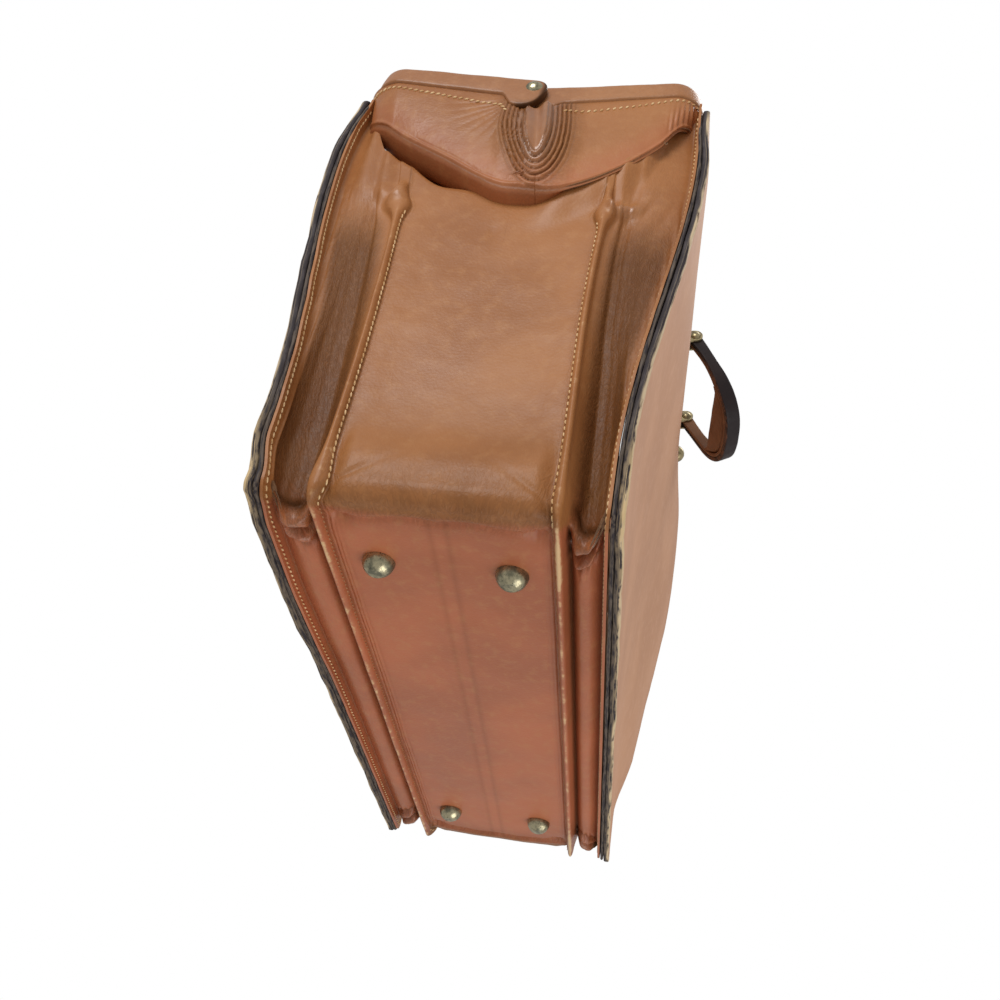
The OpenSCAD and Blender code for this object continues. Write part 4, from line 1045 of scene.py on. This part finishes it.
def swag_piece(side, far, name):
    rows_down = np.concatenate([np.linspace(0, 0.12, 8)[:-1], np.linspace(0.12, 0.93, 66)[:-1],
                                np.linspace(0.93, 1, 9)])
    base = np.linspace(0, 1, 170) ** 1.5
    # The cut between the halves follows a pucker to the right of the bulge.
    probe, _ = swag_grid(np.array([-0.147, 0.0]), rows_down, far)
    z_row = probe[0, :, 2]
    sunk = np.clip((tongue_z - z_row) / (tongue_deep + deeper * cut_at), 0, 1)
    cut = -(bulge_w + pucker * cut_at) * np.sqrt(1 - sunk ** 2) + bulge_y(z_row)
    total = swag_straight + swag_arc
    start = (cut if side > 0 else cut + overlap) / total
    s = start + (side - start) * base[:, None]
    # Each row has its own places across, so the sheet is looked up row by row.
    looked_up = [swag_grid(s[:, j], rows_down, far) for j in range(s.shape[1])]
    p = np.stack([g[:, j] for j, (g, _) in enumerate(looked_up)], 1)
    h = np.stack([g[:, j] for j, (_, g) in enumerate(looked_up)], 1)
    du = np.gradient(p, axis=0)
    dv = np.gradient(p, axis=1)
    nrm = np.cross(du, dv)
    nrm /= np.linalg.norm(nrm, axis=2)[..., None] + 1e-9
    nrm *= np.sign((nrm * np.array([-1.0, 0, -0.3])).sum(2).mean())
    d, k = swag_relief(p, h, far)
    t = np.concatenate([rows_down, np.ones(p.shape[1] - len(rows_down))])[None, :]
    flat = ease(t / 0.07)
    # Beside the cut, the front half tucks just under the rear half's edge.
    tuck = 0.3 * (1 - ease((cut[None, :] - s * total) / 0.6)) if side < 0 else 0 * s
    p = p + nrm * (d * flat - tuck)[..., None]
    if far:
        p = p * np.array([-1, 1, 1])
    n, m = p.shape[:2]
    uv = np.stack([run_length(p, 1) * 0.001, run_length(p, 0) * 0.001], -1)
    puckered = ease((k + 1.6) / 1) * (1 - ease((k - 5) / 3))
    valley = (0.5 + 0.5 * np.cos(2 * np.pi * k)) ** 2 * (1 - ease((k - 3.8) / 2))
    marks = {"under": 0.5 * ease((30 - h) / 26) + 0.1 * ease(-h / 2),
             # Painted shade in the pucker valleys, along the fold's crease, under the band's edge, over
             # the puckered area and on the underside of the fold.
             "painted_shade_and_raw_edge": 0.5 * valley * puckered * ease((h + 1) / 3) + 0.5 * hump(h, 0.4, 0.8)
             + 0.4 * hump(t, 0.0, 0.035) + 0.12 * puckered
             + 0.1 * ease((0.5 - h) / 1.5) + 0.25 * ease((-h - 14) / 10),
             "wrinkle": 0.1 + 0.3 * puckered,
             "shine": 0.95 * (1 - ease((k - 0.4) / 2)) * ease((h - 8) / 20)}
    o = object_from(name, p, grid_faces(n, m, flip=(side > 0) == far), tan, uv, marks)
    thicken(o, swag_t, flesh)
    return o, p, nrm * (np.array([-1, 1, 1]) if far else 1), s * side * total


def fold_with_frame(o, side):
    name = "rear" if side > 0 else "front"
    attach(o, name + "_frame")
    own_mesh(o)


# The swags are sewn to the bands along one row, from beside the pivot to the corner.
seam_row, seam_from, seam_to = 10, 11, 98
for side, name in halves:
    lines = []
    for far in (False, True):
        o, p, nrm, run = swag_piece(side, far, name + ("_far" if far else "_near") + "_swag")
        fold_with_frame(o, side)
        if not far:
            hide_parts(name + "_folds")
        p, nrm, run = p[:, seam_row], nrm[:, seam_row], run[:, seam_row]
        keep = (run > seam_from) & (run < seam_to)
        lines.append((p[keep] + nrm[keep] * 0.2, nrm[keep]))
    o = sew(name + "_swag_stitches", lines, cream_thread, 3.4, 3.1, 1.2, 38)
    fold_with_frame(o, side)


# Seam allowance: the panel's turned edge lies inside it as a second dark layer, with the
# gusset's flange sewn to it.
allowance_w, allowance_t = 9.0, 1.9


def seam_strip(side, name):
    r = low_r
    top = panel_top - top_r
    x_end = half_l - 0.4
    up = np.linspace(top, panel_low + r + 0.4, 60)
    w = np.linspace(0, np.pi / 2, 9)
    low_z = panel_low + 0.4
    half_path = np.concatenate([
        np.stack([-x_end + 0 * up, up], 1),
        np.stack([-x_end + r * (1 - np.cos(w)), low_z + r * (1 - np.sin(w))], 1)[1:],
        np.stack([np.linspace(-x_end + r, 0, 50), low_z + np.zeros(50)], 1)[1:]])
    way = np.concatenate([np.tile([1.0, 0], (60, 1)), np.stack([np.cos(w), np.sin(w)], 1)[1:],
                          np.tile([0.0, 1], (49, 1))])
    path = np.concatenate([half_path, (half_path * [-1, 1])[-2::-1]])
    way = np.concatenate([way, (way * [-1, 1])[-2::-1]])
    n = len(path)
    half = np.full(n, allowance_w / 2)
    half[[0, -1]] = 3.6
    u, v = rounded_section(half, np.full(n, allowance_t / 2), np.full(n, 0.8))
    xs = path[:, :1] + way[:, :1] * (u + allowance_w / 2)
    zs = path[:, 1:] + way[:, 1:] * (u + allowance_w / 2)
    at = np.stack([xs, 0 * xs + 300 * side, zs], -1)
    wave = rough(at, 18, 31, 3)
    y = panel_in(zs) + bow(xs, zs, side) - corner_turn(xs, zs) - 1.15 + v + 0.25 * wave * (v < 0)
    xs = xs + way[:, :1] * 0.35 * wave * (u < 0)
    zs = zs + way[:, 1:] * 0.35 * wave * (u < 0)
    p = np.stack([xs, side * y, zs], -1)
    rim = np.clip((-u - 2.5) / 1.5, 0, 1)
    marks = {"profile": 0.66 + 0.05 * v + 0.06 * rim, "rub": 0.1 * rim + 0 * v,
             "ring": 0.3 + 0.001 * np.arange(n)[:, None] * 6.0 % 0.7 + 0 * v}
    uv = np.stack([u * 0.001, np.arange(n)[:, None] * 0.004 + 0 * u], -1)
    o = object_from(name, p, tube_faces(*u.shape), panel_leather, uv, marks)
    outward(o)
    return o


for side, name in halves:
    o = seam_strip(side, name + "_seam_allowance")
    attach(o, name + "_side")
    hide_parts(name + "_seam")


# Linings: a coarse tan cloth, glued to the inside of each panel and stitched round its edge.
# Its weave shows, and it is unevenly stained with age.
def cloth_finish():
    mat, t, shader, place = start_material("lining cloth")
    warp, weft = (node(t, "ShaderNodeTexWave", Vector=place, Scale=520.0, bands_direction=way,
                       Distortion=0.3).outputs["Fac"] for way in "XZ")
    stain = node(t, "ShaderNodeTexNoise", Vector=place, Scale=14.0, Detail=4.0)
    weave = calc(t, "MAXIMUM", warp, weft)
    tone = tint(t, spread(t, stain, 0.35, 0.7), (0.46, 0.36, 0.23), (0.34, 0.25, 0.15))
    # Painted shade darkens the hollows between the threads.
    hollow = calc(t, "MULTIPLY_ADD", weave, -0.35, 0.35)
    fill(t, shader, Base_Color=tint(t, hollow, tone, (0.2, 0.14, 0.08)), Roughness=0.9,
         Sheen_Weight=0.25, Normal=bumps(t, weave, 0.5, 0.0004))
    return mat


lining_cloth = cloth_finish()
lining_in = 14.0


def lining_sheet(side, name):
    n, m = 90, 70
    xs = np.linspace(-half_l + lining_in, half_l - lining_in, n)
    zs = np.linspace(panel_low + lining_in + 8, panel_top - lining_in + 2, m)
    x, z = np.meshgrid(xs, zs, indexing="ij")
    edge = np.minimum(np.minimum(x - xs[0], xs[-1] - x), np.minimum(z - zs[0], zs[-1] - z))
    at = np.stack([x, 0 * x + 120 * side, z], -1)
    puff = 0.25 * rough(at, 30, 41) * ease(edge / 8) + 0.25 * ease(edge / 3)
    y = side * (panel_in(z) + bow(x, z, side) - corner_turn(x, z) - 0.9 - puff)
    p = np.stack([x, y, z], -1)
    cloth = object_from(name, p, grid_faces(n, m, flip=side < 0), lining_cloth,
                        np.stack([x, z], -1) * 0.001)
    thicken(cloth, -0.8)
    border = [p[1], p[-2], p[:, 1], p[:, -2]]
    lines = [(b + np.array([0, -0.3 * side, 0]), np.tile([0, -side, 0], (len(b), 1))) for b in border]
    return cloth, sew(name + "_stitches", lines, cream_thread, 4, 3, 0.7, 0)


for side, name in halves:
    cloth, stitches = lining_sheet(side, name + "_lining_cloth")
    for o in (cloth, stitches):
        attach(o, name + "_side")
    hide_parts(name + "_lining")


# Handle: a strap of two layers, black waxed outside and brown inside, bent to a stirrup,
# with a thick brown pad under the grip.
def dark_leather(name, base, pale, rubbed):
    mat, t, shader, place = start_material(name)
    g = node(t, "ShaderNodeGroup", node_tree=skin, Place=place,
             Sheet=node(t, "ShaderNodeTexCoord").outputs["UV"])
    fleck = g.outputs["Fleck"]
    colour = tint(t, spread(t, g.outputs["Cloud"], 0.35, 0.7), base, pale)
    patch = spread(t, calc(t, "ADD", attribute(t, "wear_and_sheen"), fleck), 0.85, 1.2)
    dull = node(t, "ShaderNodeMapRange", i0=fleck, i1=0.3, i2=0.7, i3=0.42, i4=0.62)
    fill(t, shader, Base_Color=tint(t, patch, colour, rubbed), Roughness=dull,
         Specular_IOR_Level=0.3, Normal=bumps(t, g.outputs["Height"], 0.45, 0.0008))
    return mat


strap_leather = dark_leather("black strap leather", (0.012, 0.007, 0.008), (0.03, 0.017, 0.016),
                             (0.16, 0.07, 0.04))
pad_leather = dark_leather("brown pad leather", (0.12, 0.05, 0.022), (0.22, 0.1, 0.045),
                           (0.42, 0.22, 0.11))
handle_x, handle_span, handle_reach = 28.0, 83.0, 64.0
strap_t, grip_w, eye_w, pin_r = 6.0, 10.4, 9.0, frame_r + 10
droop = math.radians(67.5)
arch_a, arch_n = handle_span / 2 + strap_t / 2, 2.7
pin_hole_d = 6.0
pad_low, pad_half = 38.5, 5.0


def handle_world(x, y, z):
    # From the handle's own plane (x along the grip, y away from its pins) to the world.
    r = pin_r + y * math.cos(droop) + z * math.sin(droop)
    up = -y * math.sin(droop) + z * math.cos(droop)
    return frame_place(handle_x + x, r, up, -1)


def strap_layer(name, out, inside, finish, wear_and_sheen):
    # The layer lies between two depths below the strap's outer face.
    w = np.linspace(0, np.pi, 91)
    c, s = np.cos(w), np.sin(w)
    drop = np.array([-1, -0.96, -0.86, -0.68, -0.45, -0.2]) * eye_w / 2
    faces = []
    for depth in (out, inside):
        a, d = arch_a - depth, handle_reach - depth
        arch = np.stack([a * np.sign(c) * np.abs(c) ** (2 / arch_n), d * s ** (2 / arch_n)], 1)
        legs = [np.stack([np.full(6, k), drop], 1) for k in (a, -a)]
        faces.append(np.concatenate([legs[0], arch, legs[1][::-1]]))
    outer, inner = faces
    mid, half = (outer + inner) / 2, np.linalg.norm(outer - inner, axis=1) / 2
    way = (outer - inner) / (2 * half[:, None])
    y = mid[:, 1]
    round_end = np.sqrt(np.clip(1 - (np.minimum(y, 0) / (eye_w / 2)) ** 2, 0.01, 1))
    wide = (eye_w - 1.2 * hump(y, 20, 14) + (grip_w - eye_w) * ease((y - 24) / 24)) / 2 * round_end
    u, v = rounded_section(half, wide, np.minimum(1.0, 0.9 * half))
    p = handle_world(mid[:, :1] + way[:, :1] * u, mid[:, 1:] + way[:, 1:] * u, v)
    p = p + 0.12 * rough(p, 9, 51, 3)[..., None]
    rub = hump(np.abs(v) - wide[:, None], 0, 0.9) * wear_and_sheen * (0.5 + 0.5 * ease(y / 40))[:, None]
    uv = np.stack([v * 0.001, np.arange(len(u))[:, None] * 0.002 + 0 * v], -1)
    o = object_from(name, p, tube_faces(*u.shape), finish, uv, {"wear_and_sheen": rub})
    outward(o)
    # Round holes for the pins, which the eyelets line.
    for k in (-1, 1):
        bpy.ops.mesh.primitive_cylinder_add(vertices=32, radius=pin_hole_d / 2000, depth=0.012)
        pin = bpy.context.object
        middle = Vector(handle_world(k * handle_span / 2, 0, 0) * 0.001)
        pin.matrix_world = Matrix.Translation(middle) @ Matrix.Rotation(math.radians(90), 4, "Y")
        m = o.modifiers.new("hole", "BOOLEAN")
        m.operation = "DIFFERENCE"
        m.object = pin
        finish_mesh(o)
        bpy.data.objects.remove(pin)
    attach(o, "handle")
    return o


outer_strap = strap_layer("handle_outer_strap", 0.0, 3.3, strap_leather, 0.5)
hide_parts("handle_strap")
inner_strap = strap_layer("handle_inner_strap", 3.35, 6.0, pad_leather, 0.3)


def grip_pad():
    # It fills the arch under the strap's inner face down to a straight, crowned lower side.
    a, d = arch_a - strap_t - 0.1, handle_reach - strap_t - 0.1
    reach = a * (1 - (pad_low / d) ** arch_n) ** (1 / arch_n)
    x = reach * np.sin(np.linspace(-np.pi / 2, np.pi / 2, 61))
    top = d * (1 - np.abs(x / a) ** arch_n) ** (1 / arch_n)
    deep = np.maximum((top - pad_low) / 2, 0.15)
    u, v = rounded_section(deep, np.full(61, pad_half), np.minimum(3.6, 0.95 * deep))
    crown = 0.5 * np.cos(np.clip(v / pad_half, -1, 1) * np.pi / 2) * (u < 0)
    p = handle_world(x[:, None] + 0 * u, ((top + pad_low) / 2)[:, None] + u - crown, v)
    p = p + 0.15 * rough(p, 12, 61, 3)[..., None]
    uv = np.stack([v * 0.001, x[:, None] * 0.001 + 0 * v], -1)
    wear_and_sheen = 0.35 * hump(u + deep[:, None], 0, 2.5)
    o = object_from("handle_grip_pad", p, tube_faces(*u.shape), pad_leather, uv, {"wear_and_sheen": wear_and_sheen})
    outward(o)
    return o


pad = grip_pad()
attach(pad, "handle")
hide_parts("handle_pad")


# Metal: feet, rivets, brackets and lock keep their CAD shapes. The feet are brass gone
# green-grey and scratched; the other brass is worn bright where it is rubbed.
def metal_finish(name, bright, dull, dirt, low=0.2, high=0.45, scratch=0.25):
    mat, t, shader, place = start_material(name)
    patch = node(t, "ShaderNodeTexNoise", Vector=place, Scale=210.0, Detail=6.0, Roughness=0.65)
    spot = node(t, "ShaderNodeTexNoise", Vector=place, Scale=900.0, Detail=3.0, Roughness=0.7)
    long = node(t, "ShaderNodeMapping", Vector=place, Scale=(2600, 180, 1500), Rotation=(0.3, 0.5, 0.7))
    line = node(t, "ShaderNodeTexNoise", Vector=long, Scale=1.0, Detail=2.0)
    colour = tint(t, spread(t, patch, 0.4, 0.62), bright, dull)
    colour = tint(t, spread(t, spot, 0.56, 0.72), colour, dirt)
    fill(t, shader, Base_Color=colour, Metallic=0.95, Normal=bumps(t, line, scratch, 0.0001),
         Roughness=node(t, "ShaderNodeMapRange", i0=patch, i1=0.35, i2=0.65, i3=low, i4=high))
    return mat


foot_brass = metal_finish("tarnished foot brass", (0.5, 0.44, 0.28), (0.2, 0.19, 0.13),
                          (0.05, 0.045, 0.03))
worn_brass = metal_finish("worn brass", (0.52, 0.43, 0.24), (0.2, 0.16, 0.09), (0.06, 0.045, 0.03),
                          low=0.28, high=0.5)
dull_steel = metal_finish("dull steel", (0.5, 0.5, 0.5), (0.3, 0.3, 0.31), (0.16, 0.13, 0.11),
                          low=0.35, high=0.55)


def board_finish():
    mat, t, shader, place = start_material("pressed fibre board")
    fibre = node(t, "ShaderNodeTexNoise", Vector=place, Scale=420.0, Detail=6.0, Roughness=0.75)
    stain = node(t, "ShaderNodeTexNoise", Vector=place, Scale=16.0, Detail=3.0)
    colour = tint(t, spread(t, stain, 0.35, 0.65), (0.3, 0.21, 0.14), (0.22, 0.15, 0.1))
    colour = tint(t, spread(t, fibre, 0.5, 0.75), colour, (0.4, 0.31, 0.22))
    fill(t, shader, Base_Color=colour, Roughness=0.85, Normal=bumps(t, fibre, 0.4, 0.0004))
    return mat


finishes = {foot_brass: ["foot_studs", "foot_washers", "pivot_rivets", "pivot_burrs"],
            worn_brass: ["catch_lug", "lug_rivets", "handle_brackets", "handle_pins", "bracket_rivets",
                         "handle_eyelets", "lock_plate", "lock_boss", "lock_case", "lock_rivets",
                         "lock_thumb"],
            dull_steel: ["rear_frame_steel", "front_frame_steel", "lock_bolt"],
            board_finish(): ["base_board"]}
for finish, nodes in finishes.items():
    for name in nodes:
        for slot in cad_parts[name].material_slots:
            slot.material = finish
